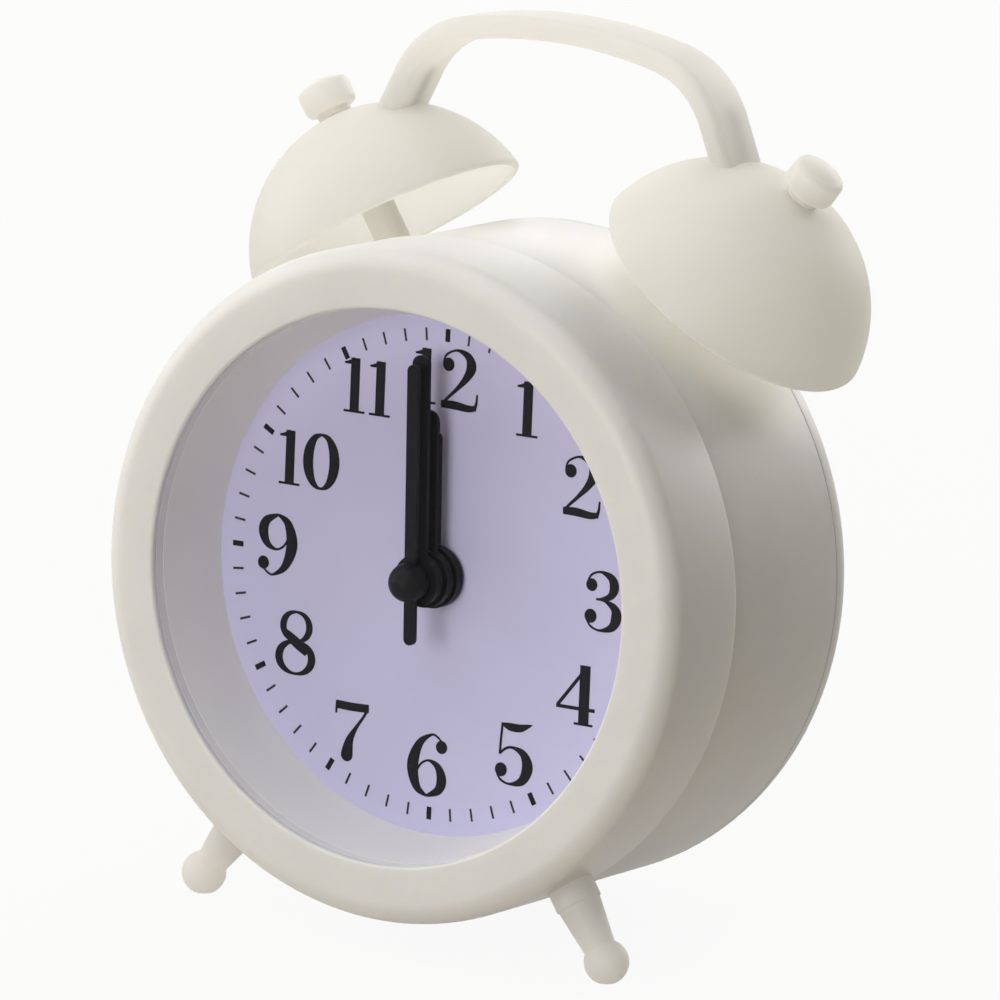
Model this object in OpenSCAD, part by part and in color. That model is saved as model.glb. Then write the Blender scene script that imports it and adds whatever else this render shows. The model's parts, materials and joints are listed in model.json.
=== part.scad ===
// Twin bell alarm clock: a round case, two dome bells, a strap handle and two front feet,
// with a battery quartz movement, a fourth hand for the alarm time and controls on the back.
// Clock axes: x to the right seen from the front, y back from the bezel's face, z up to twelve.
// The clock leans back on its two feet and the lower edge of its rear cover.

/* [Case] */
// Outer radius of the front bezel
bezel_r = 42; // [40:0.5:46]
// Rounding of the bezel's outer front edge
bezel_edge = 3; // [1.5:0.5:4]
// Thickness of the bezel's side wall
bezel_wall = 2.8; // [2:0.2:3.4]
// How far the bezel stands out from the drum behind it
bezel_step = 0.4; // [0:0.1:1]
// Width of the bezel's face, from its outer edge to the window
bezel_face = 7.5; // [6.5:0.25:9]
// Thickness of the lip in front of the lens
lip_t = 1; // [0.8:0.1:1.4]
// Rounding of the window's front edge
lip_edge = 0.45; // [0.2:0.05:0.6]
// Length of the drum between the bezel and the rear cover
drum_len = 24.3; // [23:0.1:34]
// Wall thickness of the drum and the rear cover
wall = 2; // [1.6:0.2:2.4]
// Rounding of the rear cover's edge
rear_edge = 6; // [4:0.5:7]
// Length of the spigots that locate the bezel and the rear cover
spigot_len = 1.2; // [0.8:0.1:2]
// Wall of those spigots
spigot_t = 1.9; // [1.5:0.1:2.5]

/* [Dial and lens] */
// Thickness of the dial
dial_t = 0.8; // [0.6:0.1:1.5]
// Thickness of the lens
lens_t = 1.5; // [1:0.1:2]
// How far the lens reaches past the window's edge
lens_lap = 2.5; // [1.5:0.1:3]
// How far the ring narrows from the window to the dial
ring_lean = 1.8; // [1:0.1:3]
// Wall of the ring between the lens and the dial
ring_t = 1.4; // [1:0.1:2]
// Width of the rim that the ring presses on the dial
ring_rim = 3.2; // [2:0.1:3.6]

/* [Hands] */
// Angle of the hands from twelve at rest, clockwise
hands_at = -3.6; // [-10:0.1:10]
// Gap between the lens and the ball on the second hand
lens_gap = 0.75; // [0.5:0.05:4]
// Gap between neighbouring hands, and behind the last one
hand_gap = 0.4; // [0.25:0.05:0.5]
// Thickness of a hand's hub
hub_t = 1.3; // [1:0.05:1.4]
// Thickness of a hand's blade
blade_t = 0.6; // [0.4:0.05:0.8]
// Length of the hour hand from the centre
hour_len = 21; // [18:0.5:24]
// Width of the hour hand
hour_w = 3; // [2:0.1:3.6]
// Radius of the hour hand's hub
hour_hub_r = 3.6; // [3.2:0.1:4.4]
// Length of the minute hand from the centre
minute_len = 28; // [25:0.5:30]
// Width of the minute hand
minute_w = 2.4; // [1.6:0.1:3]
// Radius of the minute hand's hub
minute_hub_r = 3.2; // [2.6:0.1:4]
// Length of the second hand from the centre
second_len = 27; // [24:0.5:30]
// Length of the second hand's tail
second_tail = 7.9; // [5:0.1:10]
// Width of the second hand
second_w = 1.6; // [1:0.1:2]
// Radius of the second hand's hub
second_hub_r = 2.25; // [1.8:0.05:2.4]
// Radius of the ball on the second hand
cap_r = 2.45; // [2:0.05:2.8]
// Length of the alarm hand from the centre
alarm_len = 18; // [14:0.5:20]
// Width of the alarm hand
alarm_w = 1.6; // [1:0.1:2.4]
// Radius of the alarm hand's hub
alarm_hub_r = 3.9; // [3.6:0.1:4.6]

/* [Bells] */
// Angle of each bell from the top of the case
bell_angle = 34.5; // [31:0.5:36]
// Distance of the bells' plane in front of the drum's rear edge
bell_inset = 3.8; // [3:0.1:5]
// Outer radius of a bell's dome
bell_r = 18.7; // [17:0.1:19]
// Wall of a bell
bell_t = 1.1; // [0.9:0.1:1.6]
// Height of the rim above the dome's centre
bell_sink = 3; // [1:0.1:5]
// Gap between the drum and a bell's rim, on the bell's axis
bell_lift = 3.7; // [3.3:0.1:5]
// Radius of a bell's post
post_r = 2.2; // [2:0.1:2.6]
// Radius of the studs at a post's ends
stud_r = 1.5; // [1.2:0.1:1.7]
// Length of the stud in a bell's knob
knob_stud = 3.2; // [2:0.1:3.6]
// Radius of a bell's knob
knob_r = 3.4; // [3:0.1:4]
// Height of a knob's head
knob_h = 3.7; // [3:0.1:4.5]
// Rounding of a knob's head
knob_edge = 0.9; // [0.5:0.1:1.4]
// Height of the neck under a knob
knob_neck = 0.8; // [0.5:0.1:1.5]
// Height of the dome on top of a knob
knob_dome = 0.6; // [0.3:0.1:1]
// Height of a post's nut
nut_h = 2; // [1.6:0.1:2.6]
// Radius of a post's nut over its corners
nut_r = 3.1; // [2.8:0.1:3.6]

/* [Handle] */
// Height of the handle's top above the case
handle_rise = 25.7; // [25:0.1:32]
// Thickness of the strap
handle_t = 3; // [2.8:0.1:4]
// Width of the strap from front to back
handle_w = 8.4; // [6:0.1:9]
// Rounding of the strap's edges
handle_edge = 1.2; // [0.6:0.1:1.3]
// Radius of the bowed top, at the middle of the strap
handle_bow = 67; // [50:1:90]
// Half the width of the bowed top
handle_half = 14.2; // [12.5:0.1:15]
// Radius of the corners, at the middle of the strap
handle_corner = 11.8; // [10:0.1:13]
// How far the legs splay from upright, in degrees
handle_splay = 24; // [20:0.5:28]
// Length of a handle screw in the leg
handle_screw_len = 6; // [4:0.5:8]

/* [Feet] */
// Angle of each foot from the bottom of the case
foot_angle = 35; // [30:0.5:40]
// Distance of the feet's plane in front of the dial's face
foot_inset = 2.7; // [2.4:0.1:5]
// Height of a foot, from the bezel to the middle of its ball
foot_len = 10.4; // [9.5:0.1:13]
// Radius of a foot where it meets the bezel
foot_top_r = 3; // [2.5:0.1:3.5]
// Radius of a foot above its ball
foot_neck_r = 2.15; // [1.6:0.05:2.5]
// Radius of the ball
foot_ball_r = 2.8; // [2.4:0.1:3.2]
// Depth of the flat that a foot stands on
foot_flat = 0.4; // [0.2:0.05:0.6]
// Length of a foot screw in the foot
foot_screw_len = 5; // [3:0.5:7]

/* [Screws] */
// Radius of the screws' threads
screw_r = 1; // [0.8:0.05:1.2]
// Radius of the screws' heads
screw_head_r = 2; // [1.8:0.05:2.3]
// Height of the screws' heads
screw_head_h = 1.4; // [1:0.1:1.6]
// Distance of the rear cover's screws from the drum's bore
boss_in = 4.6; // [4:0.1:5]
// Radius of the bosses for those screws
boss_r = 2.9; // [2.6:0.1:3.1]
// Length of the bosses inside the drum
boss_len = 10; // [7:0.5:12]
// Material below a blind screw hole
hole_floor = 1; // [0.6:0.1:2]
// Free depth below a screw's tip
tip_gap = 1; // [0.5:0.1:2]

/* [Movement] */
// Thickness of the movement's front and rear plates
plate_t = 1.6; // [1.2:0.1:2]
// Wall of the movement's box
box_wall = 1; // [0.8:0.1:1.2]
// Space around the wheels inside the box
box_room = 0.5; // [0.3:0.1:0.8]
// Wall around the movement's screws
ear_wall = 1.4; // [1:0.1:1.8]
// Radius of the dial's pegs in the movement
peg_r = 1.2; // [0.8:0.1:1.5]
// Thickness of a wheel
wheel_t = 0.8; // [0.6:0.05:1]
// Gap between neighbouring wheels along the axis
layer_gap = 0.4; // [0.3:0.05:0.5]
// How far a pinion reaches past its wheel at each side
pinion_over = 0.2; // [0.1:0.05:0.25]
// Radius of the second hand's arbor
arbor_r = 0.6; // [0.5:0.05:0.65]
// Radius of the minute pipe
minute_pipe_r = 1.6; // [1.3:0.05:1.7]
// Radius of the hour pipe
hour_pipe_r = 2.5; // [2.3:0.05:2.6]
// Radius of the alarm pipe
alarm_pipe_r = 3; // [2.9:0.05:3.2]
// Radius of the seat that the centre wheel slips on
clutch_r = 1.1; // [0.9:0.05:1.2]
// Radius of the fixed pins that wheels run on
pin_r = 0.35; // [0.3:0.01:0.4]
// Radius of the fixed stud of the motion wheel
motion_pin_r = 0.7; // [0.5:0.05:0.8]
// Length of the rotor's magnet
magnet_len = 2; // [1.5:0.1:2.4]
// Radius of the rotor's magnet
magnet_r = 2.5; // [2:0.1:2.8]
// Gap between the magnet and the stator
magnet_gap = 0.35; // [0.25:0.05:0.5]
// Thickness of the stator and of the coil's core
iron_t = 0.8; // [0.6:0.05:1]
// Width of the stator's arms and of the core
iron_w = 2; // [1.6:0.1:2.4]
// Radius of the stator around the rotor
stator_r = 4.2; // [3.8:0.1:4.6]
// Radius of the pins that carry the stator
stator_pin_r = 0.6; // [0.5:0.05:0.65]
// Length of the coil
coil_len = 9; // [8:0.1:10]
// Outer radius of the winding
coil_r = 2.6; // [2.2:0.1:2.8]
// Height of the coil above the rotor
coil_up = 11; // [10:0.1:11.5]
// Thickness of the coil's flanges
flange_t = 0.8; // [0.5:0.1:1]
// How far the coil's flanges stand out past the winding
flange_over = 0.3; // [0.2:0.05:0.5]
// Wall of the coil's spool
spool_t = 0.5; // [0.4:0.05:0.7]
// Thickness of the circuit board
board_t = 1.2; // [0.8:0.1:1.6]
// Radius of the quartz crystal's can
crystal_r = 1; // [0.8:0.05:1.1]
// Length of the quartz crystal's can
crystal_len = 5.5; // [4:0.1:6]
// Width of the control chip
chip_w = 4; // [3:0.1:4.5]
// Height of the control chip
chip_h = 2.6; // [2:0.1:3]
// Thickness of the control chip
chip_t = 1.1; // [0.8:0.1:1.3]

/* [Gear distances] */
// Distance between the rotor and the intermediate wheel
rotor_dist = 7; // [6.8:0.1:7.4]
// Distance of the intermediate wheel from the centre
intermediate_dist = 7.5; // [7.3:0.1:7.8]
// Distance of the third wheel from the centre
third_dist = 8; // [7.8:0.1:8.1]
// Distance of the motion wheel from the centre
motion_dist = 7.5; // [7.4:0.1:7.7]
// Direction of the intermediate wheel from the centre, in degrees from the right
intermediate_dir = 188; // [184:1:190]
// Direction of the rotor from the intermediate wheel
rotor_dir = 183; // [180:1:185]
// Direction of the third wheel from the centre
third_dir = 0; // [-2:1:2]

/* [Battery] */
// Length of the battery with its terminal
battery_len = 44.5; // [43.3:0.1:44.5]
// Radius of the battery
battery_r = 5.25; // [4.9:0.05:5.25]
// Height of the battery's terminal
terminal_h = 0.8; // [0.8:0.1:1.2]
// Radius of the battery's terminal
terminal_r = 1.9; // [1.6:0.05:1.9]
// Gap between the battery's tray and the movement's box
tray_gap = 0.9; // [0.5:0.1:2]
// Room around the battery in its tray
battery_room = 0.35; // [0.2:0.05:0.5]
// Thickness of the battery contacts
contact_t = 0.5; // [0.3:0.05:0.6]
// Width of the battery contacts
contact_w = 6; // [4:0.1:8]
// How far the contacts stand out of the tray
contact_up = 1; // [0.6:0.1:1.4]
// Wall of the battery tray
tray_t = 1.2; // [0.9:0.1:1.4]
// Thickness of the battery door
door_t = 1.4; // [1:0.1:1.6]
// Width of the ledge that the door lies on
door_ledge = 0.8; // [0.5:0.1:1]
// Width of the finger notch in the door
door_notch = 8; // [5:0.5:12]
// Radius of the door's hinge pins
hinge_pin_r = 0.4; // [0.3:0.05:0.45]
// Length of a hinge pin in the cover
hinge_pin_len = 0.8; // [0.5:0.1:1.2]

/* [Controls] */
// Sideways distance of the setting shafts from the centre
set_x = 9; // [8.8:0.1:9.2]
// Height of the setting shafts above the centre
set_z = 9; // [8.8:0.1:9.2]
// Radius of the setting shafts
set_shaft_r = 1; // [0.8:0.05:1.1]
// Radius of the setting knobs
set_knob_r = 4.5; // [3.5:0.1:5]
// Height of the setting knobs
set_knob_h = 5; // [4:0.1:7]
// Number of flutes around a setting knob
set_flutes = 18; // [12:1:24]
// Radius of those flutes
flute_r = 0.45; // [0.3:0.05:0.55]
// Sideways distance of the alarm switch from the centre
switch_x = 23; // [22:0.1:24]
// Height of the alarm switch above the centre
switch_z = 4; // [3:0.1:6]
// Travel of the alarm switch
switch_travel = 3; // [2:0.1:4]
// Width of the alarm switch's button
switch_w = 4; // [3:0.1:5]
// Height of the alarm switch's button
switch_h = 5; // [4:0.1:6]
// How far the button stands out of the rear cover
switch_out = 2; // [1:0.1:3]
// Width of the flange that holds the button behind the cover
switch_flange = 1; // [0.8:0.1:1.4]
// Gap between the buzzer and the boss of the upper screw
buzzer_gap = 1.6; // [1:0.1:2.5]
// Radius of the buzzer
buzzer_r = 8.5; // [7.5:0.1:9]
// Height of the buzzer
buzzer_h = 3; // [2:0.1:4]
// Radius of the sound holes
sound_r = 0.8; // [0.5:0.05:1]
// Radius of the ring of sound holes
sound_ring = 4; // [3:0.1:5]
// Radius of the wires' insulation
wire_r = 0.4; // [0.3:0.05:0.5]
// How far the wires run straight out of their ends
wire_out = 4; // [2:0.5:5]
// Distance of the wires' ends from the movement's edges
wire_in = 3; // [2:0.5:4]

/* [Fits] */
// Radial clearance of turning fits
run_fit = 0.05; // [0.03:0.01:0.08]
// Clearance of parts that slide together and stay
slip = 0.1; // [0.05:0.01:0.15]
// Gap between seated faces that are curved
seat = 0.02; // [0.01:0.01:0.05]
// Clearance around parts that move without touching
free = 0.3; // [0.25:0.05:0.4]

/* [Hidden] */
$fn = 96;

// How far a cut runs past the face that it opens
past = 1;

// Teeth of the wheels, which set how the hands go
pinion_n = 10;
intermediate_n = 60;
second_n = 50;
third_n = 75;
centre_n = 80;
cannon_n = 12;
motion_n = 36;
hour_n = 40;
alarm_n = 36;
alarm_set_n = 40;

// Case, from front to back
drum_r = bezel_r - bezel_step;
drum_in = drum_r - wall;
bezel_bore = bezel_r - bezel_wall;
window_r = bezel_r - bezel_face;
lens_back = lip_t + lens_t;
lens_r = window_r + lens_lap;
dial_view_r = window_r - slip - ring_lean;
dial_depth = lens_back + lens_gap + cap_r + 4*(hand_gap + hub_t);
dial_back = dial_depth + dial_t;
bezel_back = dial_back + spigot_len;
drum_back = bezel_back + drum_len;
cover_in = drum_back + rear_edge - wall;
rear_face = drum_back + rear_edge;
front_spigot_r = bezel_bore - slip;
rear_spigot_r = drum_in - slip;
boss_back = drum_back - spigot_len - 2*wall;
boss_front = boss_back - boss_len;
boss_at = drum_in - boss_in;
boss_angles = [0, 90, 180, 270];

// Stance: the flats of the feet and the rear cover's lower edge touch the table
foot_depth = dial_depth - foot_inset;
foot_at = bezel_r + foot_len;
foot_rest = foot_ball_r - foot_flat;
stance_run = drum_back - foot_depth;
stance_drop = foot_at*cos(foot_angle) - (drum_r - rear_edge);
stance_less = rear_edge - foot_rest;
tilt = atan2(stance_drop, stance_run) - asin(stance_less/norm([stance_run, stance_drop]));
stand_z = foot_rest + foot_depth*sin(tilt) + foot_at*cos(foot_angle)*cos(tilt);

// Bells, each drawn with z along its own axis
bell_depth = drum_back - bell_inset;
bell_rim = drum_r + bell_lift;
bell_c = bell_rim - bell_sink;
bell_rim_r = sqrt(bell_r*bell_r - bell_sink*bell_sink);
bell_top = bell_c + bell_r;
bell_lean = cos(bell_angle)*sin(tilt);
post_top = bell_c + sqrt(pow(bell_r - bell_t, 2) - post_r*post_r) - seat;
bell_reach = bell_rim_r*sqrt(1 - bell_lean*bell_lean);
bell_back = bell_depth*cos(tilt) + bell_rim*cos(bell_angle)*sin(tilt) + bell_reach;
face_front = bezel_edge*cos(tilt) - (bezel_r - bezel_edge)*sin(tilt) - bezel_edge;
stand_y = -(bell_back + face_front)/2;

// Handle, as arcs at the middle of the strap
bow_z = bezel_r + handle_rise - handle_t/2 - handle_bow;
bow_a = asin(handle_half/handle_bow);
corner_x = handle_half - handle_corner*sin(bow_a);
corner_z = bow_z + (handle_bow - handle_corner)*cos(bow_a);
leg_a = 90 - handle_splay;
leg_x = corner_x + handle_corner*sin(leg_a);
leg_z = corner_z + handle_corner*cos(leg_a);
dome_x = bell_c*sin(bell_angle);
dome_z = bell_c*cos(bell_angle);
leg_dir = [sin(handle_splay), -cos(handle_splay)];
leg_off = (dome_x - leg_x)*leg_dir[0] + (dome_z - leg_z)*leg_dir[1];
leg_miss = (dome_x - leg_x)*leg_dir[1] - (dome_z - leg_z)*leg_dir[0];
leg_len = leg_off - sqrt(bell_r*bell_r - leg_miss*leg_miss);
dome_in = bell_r - bell_t;
screw_skew = abs(leg_miss) + screw_head_r;
handle_head = leg_off - sqrt(dome_in*dome_in - screw_skew*screw_skew) + seat;

// Gap that keeps the flat facets of a leg's end off the dome
leg_seat = seat + pow(norm([handle_t, handle_w])/2, 2)/(8*bell_r);

// Outline of the strap across its length: outwards from the bend, then backwards,
// with a point in the middle of each broad side
strap_points = [
  for (q = [0:3], k = [0:4 + q%2])
    let (a = 90*q + 22.5*k, sx = q == 0 || q == 3 ? 1 : -1, sy = q < 2 ? 1 : -1)
    k > 4 ? [sx*handle_t/2, 0]
    : [sx*(handle_t/2 - handle_edge), sy*(handle_w/2 - handle_edge)] + handle_edge*[cos(a), sin(a)]
];

// Hands, from the dial forwards
alarm_hand_y = dial_depth - hand_gap - hub_t;
hour_hand_y = alarm_hand_y - hand_gap - hub_t;
minute_hand_y = hour_hand_y - hand_gap - hub_t;
second_hand_y = minute_hand_y - hand_gap - hub_t;

// Wheel layers, from the movement's front plate backwards
box_front = dial_back + plate_t;
alarm_y = box_front + layer_gap;
hour_y = alarm_y + wheel_t + layer_gap;
motion_y = hour_y + 2*wheel_t + layer_gap;
centre_y = motion_y + wheel_t + pinion_over + layer_gap;
third_y = centre_y + 2*wheel_t + layer_gap + 2*pinion_over;
second_y = third_y + wheel_t + 2*pinion_over + layer_gap;
intermediate_y = second_y + wheel_t + 2*pinion_over + layer_gap;
magnet_y = intermediate_y + wheel_t + pinion_over + 2*layer_gap;
stator_y = magnet_y + magnet_len/2 - iron_t/2;
box_back = magnet_y + magnet_len + 2*layer_gap + board_t;
cover_back = box_back + plate_t;
pinion_t = wheel_t + 2*pinion_over;

// Axes of the wheels
intermediate_at = intermediate_dist*[cos(intermediate_dir), sin(intermediate_dir)];
rotor_at = intermediate_at + rotor_dist*[cos(rotor_dir), sin(rotor_dir)];
third_at = third_dist*[cos(third_dir), sin(third_dir)];
set_at = [set_x, set_z];
set_dist = norm(set_at);
alarm_set_at = [-set_x, set_z];
motion_off = sqrt(motion_dist*motion_dist - set_dist*set_dist/4);
motion_at = set_at/2 + motion_off*[-set_z, set_x]/set_dist;

// Modules of the meshing pairs, from their distances
rotor_m = 2*rotor_dist/(pinion_n + intermediate_n);
intermediate_m = 2*intermediate_dist/(pinion_n + second_n);
second_m = 2*third_dist/(pinion_n + third_n);
third_m = 2*third_dist/(pinion_n + centre_n);
cannon_m = 2*motion_dist/(cannon_n + motion_n);
motion_m = 2*motion_dist/(pinion_n + hour_n);
alarm_m = 2*set_dist/(alarm_n + alarm_set_n);

// Tooth form, in modules and in shares of half a pitch
tooth_add = 0.75;
tooth_ded = 1;
tooth_root = 0.62;
tooth_tip = 0.2;

// Phases of the wheels, each in mesh with the one that drives it
rotor_phase = 0;
intermediate_phase = mesh_phase(rotor_dir + 180, pinion_n, intermediate_n, rotor_phase);
second_phase = mesh_phase(intermediate_dir + 180, pinion_n, second_n, intermediate_phase);
third_phase = mesh_phase(third_dir, pinion_n, third_n, second_phase);
centre_phase = mesh_phase(third_dir + 180, pinion_n, centre_n, third_phase);
motion_dir = atan2(motion_at[1], motion_at[0]);
motion_phase = mesh_phase(motion_dir, cannon_n, motion_n, 0);
hour_phase = mesh_phase(motion_dir + 180, pinion_n, hour_n, motion_phase);
time_set_dir = atan2(set_at[1] - motion_at[1], set_at[0] - motion_at[0]);
time_set_phase = mesh_phase(time_set_dir, motion_n, cannon_n, motion_phase);
alarm_set_dir = atan2(set_z, -set_x);
alarm_set_phase = mesh_phase(alarm_set_dir, alarm_n, alarm_set_n, 0);

// Box of the movement
coil_x = rotor_at[0] - 2*iron_w;
coil_z = rotor_at[1] + coil_up;
coil_y = stator_y - iron_t/2;
arm_x = coil_len/2 + iron_w;
spool_r = norm([iron_t, iron_w])/2 + spool_t;
third_tip = second_m*(third_n/2 + tooth_add);
set_tip = alarm_m*(alarm_set_n/2 + tooth_add);
box_x0 = coil_x - arm_x - box_room;
box_x1 = third_at[0] + third_tip + box_room;
box_z0 = third_at[1] - third_tip - box_room;
box_z1 = set_z + set_tip + box_room;
board_x1 = rotor_at[0] + stator_r + stator_pin_r;
board_z1 = rotor_at[1] + stator_r;
ear_r = screw_r + ear_wall;
ear_z = (box_z0 + box_z1)/2;
ear_xs = [box_x0 - box_wall - ear_r/2, box_x1 + box_wall + ear_r/2];
peg_xs = [box_x0 + 2*peg_r, box_x1 - 2*peg_r];
peg_z = box_z1 - 2*peg_r;
stator_pin_xs = [coil_x - arm_x + iron_w/2, rotor_at[0] + (magnet_r + magnet_gap + stator_r)/2];

// Battery tray and door in the rear cover
tray_x = battery_len/2 + contact_t;
tray_h = battery_r + battery_room;
battery_drop = box_wall - box_z0 + tray_gap + tray_t + tray_h;
battery_y = cover_in + wall - door_t - battery_room - battery_r;
tray_front = battery_y - battery_r - battery_room;
contact_top = tray_h + tray_t + contact_up;
door_x = tray_x + door_ledge;
door_h = tray_h + door_ledge;
hinge_r = (door_t - slip)/2;
hinge_y = rear_face - hinge_r;
hinge_z = -battery_drop + door_h - free - hinge_r;

// Places on the rear cover
buzzer_z = boss_at - boss_r - buzzer_gap - buzzer_r;
knob_y = rear_face + free;
switch_flange_y = cover_in - free - switch_flange;

// Puts a piece in its place on the table
module stand() {
  translate([0, stand_y, stand_z]) rotate([-tilt, 0, 0]) children();
}

// A turned piece on the clock's axis, from a profile of radius and depth
module turned() {
  rotate([-90, 0, 0]) rotate_extrude() children();
}

// A flat piece between two depths, from an outline seen from the front
module slab(y0, y1) {
  translate([0, y1, 0]) rotate([90, 0, 0]) linear_extrude(y1 - y0) children();
}

// A round bar along the clock's axis
module rod(at, r, y0, y1) {
  translate([at[0], y0, at[1]]) rotate([-90, 0, 0]) cylinder(r = r, h = y1 - y0);
}

// Turns a piece around the clock's axis, clockwise seen from the front
module around(a) {
  rotate([0, a, 0]) children();
}

// Draws a piece of the right side, or its mirror image on the left
module on_side(side) {
  if (side < 0) mirror([1, 0, 0]) children();
  else children();
}

// Places a piece of one bell, with its own axis along z
module at_bell(side) {
  on_side(side) around(bell_angle) translate([0, bell_depth, 0]) children();
}

// Places a piece of one foot, with its own axis along z
module at_foot(side) {
  on_side(side) around(180 - foot_angle) translate([0, foot_depth, 0]) children();
}

// Places a piece on one leg of the handle, with z down along the leg from its upper end
module at_leg(side) {
  on_side(side) translate([leg_x, bell_depth, leg_z]) rotate([0, 180 - handle_splay, 0]) children();
}

// A slotted screw along z, with its head from 0 down to -head_h
module screw(len) {
  difference() {
    union() {
      translate([0, 0, -screw_head_h]) cylinder(r = screw_head_r, h = screw_head_h);
      cylinder(r = screw_r, h = len);
    }
    translate([-screw_head_r - past, -screw_r/4, -screw_head_h - past])
      cube([2*(screw_head_r + past), screw_r/2, past + screw_head_h/2]);
  }
}

// Outline of a gear with n teeth of module m, one tooth at the angle phase
module gear(n, m, phase) {
  half = 180/n;
  shape = [
    [n/2 - tooth_ded, -tooth_root], [n/2 + tooth_add, -tooth_tip],
    [n/2 + tooth_add, tooth_tip], [n/2 - tooth_ded, tooth_root]
  ];
  polygon([
    for (i = [0:n - 1], p = shape)
      let (a = phase + 2*half*i + half*p[1]) m*p[0]*[cos(a), sin(a)]
  ]);
}

// Phase of a gear with nb teeth that meshes with one of na teeth, in direction dir
function mesh_phase(dir, na, nb, phase_a) =
  dir + 180 - (0.5 - (dir - phase_a)*na/360)*360/nb;

// A gear on its axis between two depths
module gear_slab(at, n, m, phase, y0, t) {
  translate([at[0], 0, at[1]]) slab(y0, y0 + t) gear(n, m, phase);
}

// Points of a smooth lead between two ends, pulled towards two more points
function lead_path(a, b, c, d, n = 8) = [
  for (i = [0:n]) let (t = i/n, s = 1 - t)
    s*s*s*a + 3*s*s*t*b + 3*s*t*t*c + t*t*t*d
];

// A solid through rings of equally many points, closed by a fan around each of two tips
module loft(rings, tips) {
  n = len(rings);
  sides = len(rings[0]);
  points = concat([for (ring = rings) each ring], tips);
  walls = [
    for (i = [0:n - 2], k = [0:sides - 1])
      let (a = i*sides + k, b = i*sides + (k + 1)%sides)
      each [[a, a + sides, b + sides], [a, b + sides, b]]
  ];
  last = (n - 1)*sides;
  caps = [
    for (k = [0:sides - 1])
      let (b = (k + 1)%sides)
      each [[n*sides, k, b], [n*sides + 1, last + b, last + k]]
  ];
  polyhedron(points, concat(walls, caps));
}

// A wire along a path
module wire(path, r, sides = 8) {
  n = len(path);
  loft([
    for (i = [0:n - 1])
      let (
        way = path[min(i + 1, n - 1)] - path[max(i - 1, 0)],
        d = way/norm(way),
        across = cross(d, [0.6, 0, 0.8]),
        u = across/norm(across),
        v = cross(d, u)
      )
      [for (k = [0:sides - 1]) path[i] + r*(cos(360*k/sides)*u + sin(360*k/sides)*v)]
  ], [path[0], path[n - 1]]);
}

// Case

module bezel_section() {
  difference() {
    union() {
      translate([window_r, lip_edge])
        square([bezel_r - bezel_edge - window_r, bezel_back - lip_edge]);
      translate([window_r + lip_edge, 0])
        square([bezel_r - bezel_edge - window_r - lip_edge, bezel_back]);
      translate([window_r + lip_edge, lip_edge]) circle(lip_edge);
      translate([bezel_r - bezel_edge, bezel_edge]) square([bezel_edge, bezel_back - bezel_edge]);
      translate([bezel_r - bezel_edge, bezel_edge]) circle(bezel_edge);
    }
    translate([window_r - past, lip_t]) square([lens_r + slip - window_r + past, lens_t + past]);
    translate([window_r - past, lens_back]) square([bezel_bore - window_r + past, bezel_back]);
  }
}

module bezel() {
  color("ivory") stand() difference() {
    turned() bezel_section();
    for (side = [-1, 1])
      at_foot(side) cylinder(r = screw_r + slip, h = 2*bezel_r);
  }
}

module case_shell() {
  color("ivory") stand() difference() {
    union() {
      turned() translate([drum_in, bezel_back]) square([wall, drum_len]);
      turned() translate([front_spigot_r - spigot_t, bezel_back])
        square([drum_in + wall/2 - front_spigot_r + spigot_t, wall]);
      turned() translate([front_spigot_r - spigot_t, dial_back]) square([spigot_t, spigot_len]);
      for (a = boss_angles) around(a) {
        rod([0, boss_at], boss_r, boss_front, boss_back);
        translate([-boss_r, boss_front, boss_at])
          cube([2*boss_r, boss_len, drum_in + wall/2 - boss_at]);
      }
    }
    for (a = boss_angles)
      around(a) rod([0, boss_at], screw_r + seat, boss_front + hole_floor, boss_back + past);
    for (side = [-1, 1])
      at_bell(side) translate([0, 0, drum_in/2]) cylinder(r = stud_r + slip, h = drum_r);
  }
}

module lens() {
  color("azure", 0.3) stand() turned() translate([0, lip_t]) square([lens_r, lens_t]);
}

module inner_ring() {
  flange_r = front_spigot_r;
  front_r = window_r - slip;
  color("whitesmoke") stand() turned() polygon([
    [front_r, lens_back], [flange_r, lens_back], [flange_r, lens_back + ring_t],
    [front_r + ring_t, lens_back + ring_t], [dial_view_r + ring_t, dial_depth - ring_t],
    [dial_view_r + ring_rim, dial_depth - ring_t], [dial_view_r + ring_rim, dial_depth],
    [dial_view_r, dial_depth]
  ]);
}

module dial() {
  color("lavender") stand() {
    turned() translate([alarm_pipe_r + free, dial_depth])
      square([front_spigot_r - alarm_pipe_r - free, dial_t]);
    for (x = peg_xs) rod([x, peg_z], peg_r, dial_back, dial_back + plate_t);
  }
}

// Rear cover, with its battery tray, screw posts and openings

module cover_outer() {
  turned() {
    translate([0, drum_back]) square([drum_r - rear_edge, rear_edge]);
    translate([0, drum_back]) intersection() {
      translate([drum_r - rear_edge, 0]) circle(rear_edge);
      square([drum_r, rear_edge]);
    }
  }
}

module tray_block(grow_x, grow_z, y0, y1) {
  translate([-tray_x - grow_x, y0, -battery_drop - tray_h - grow_z])
    cube([2*(tray_x + grow_x), y1 - y0, 2*(tray_h + grow_z)]);
}

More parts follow.
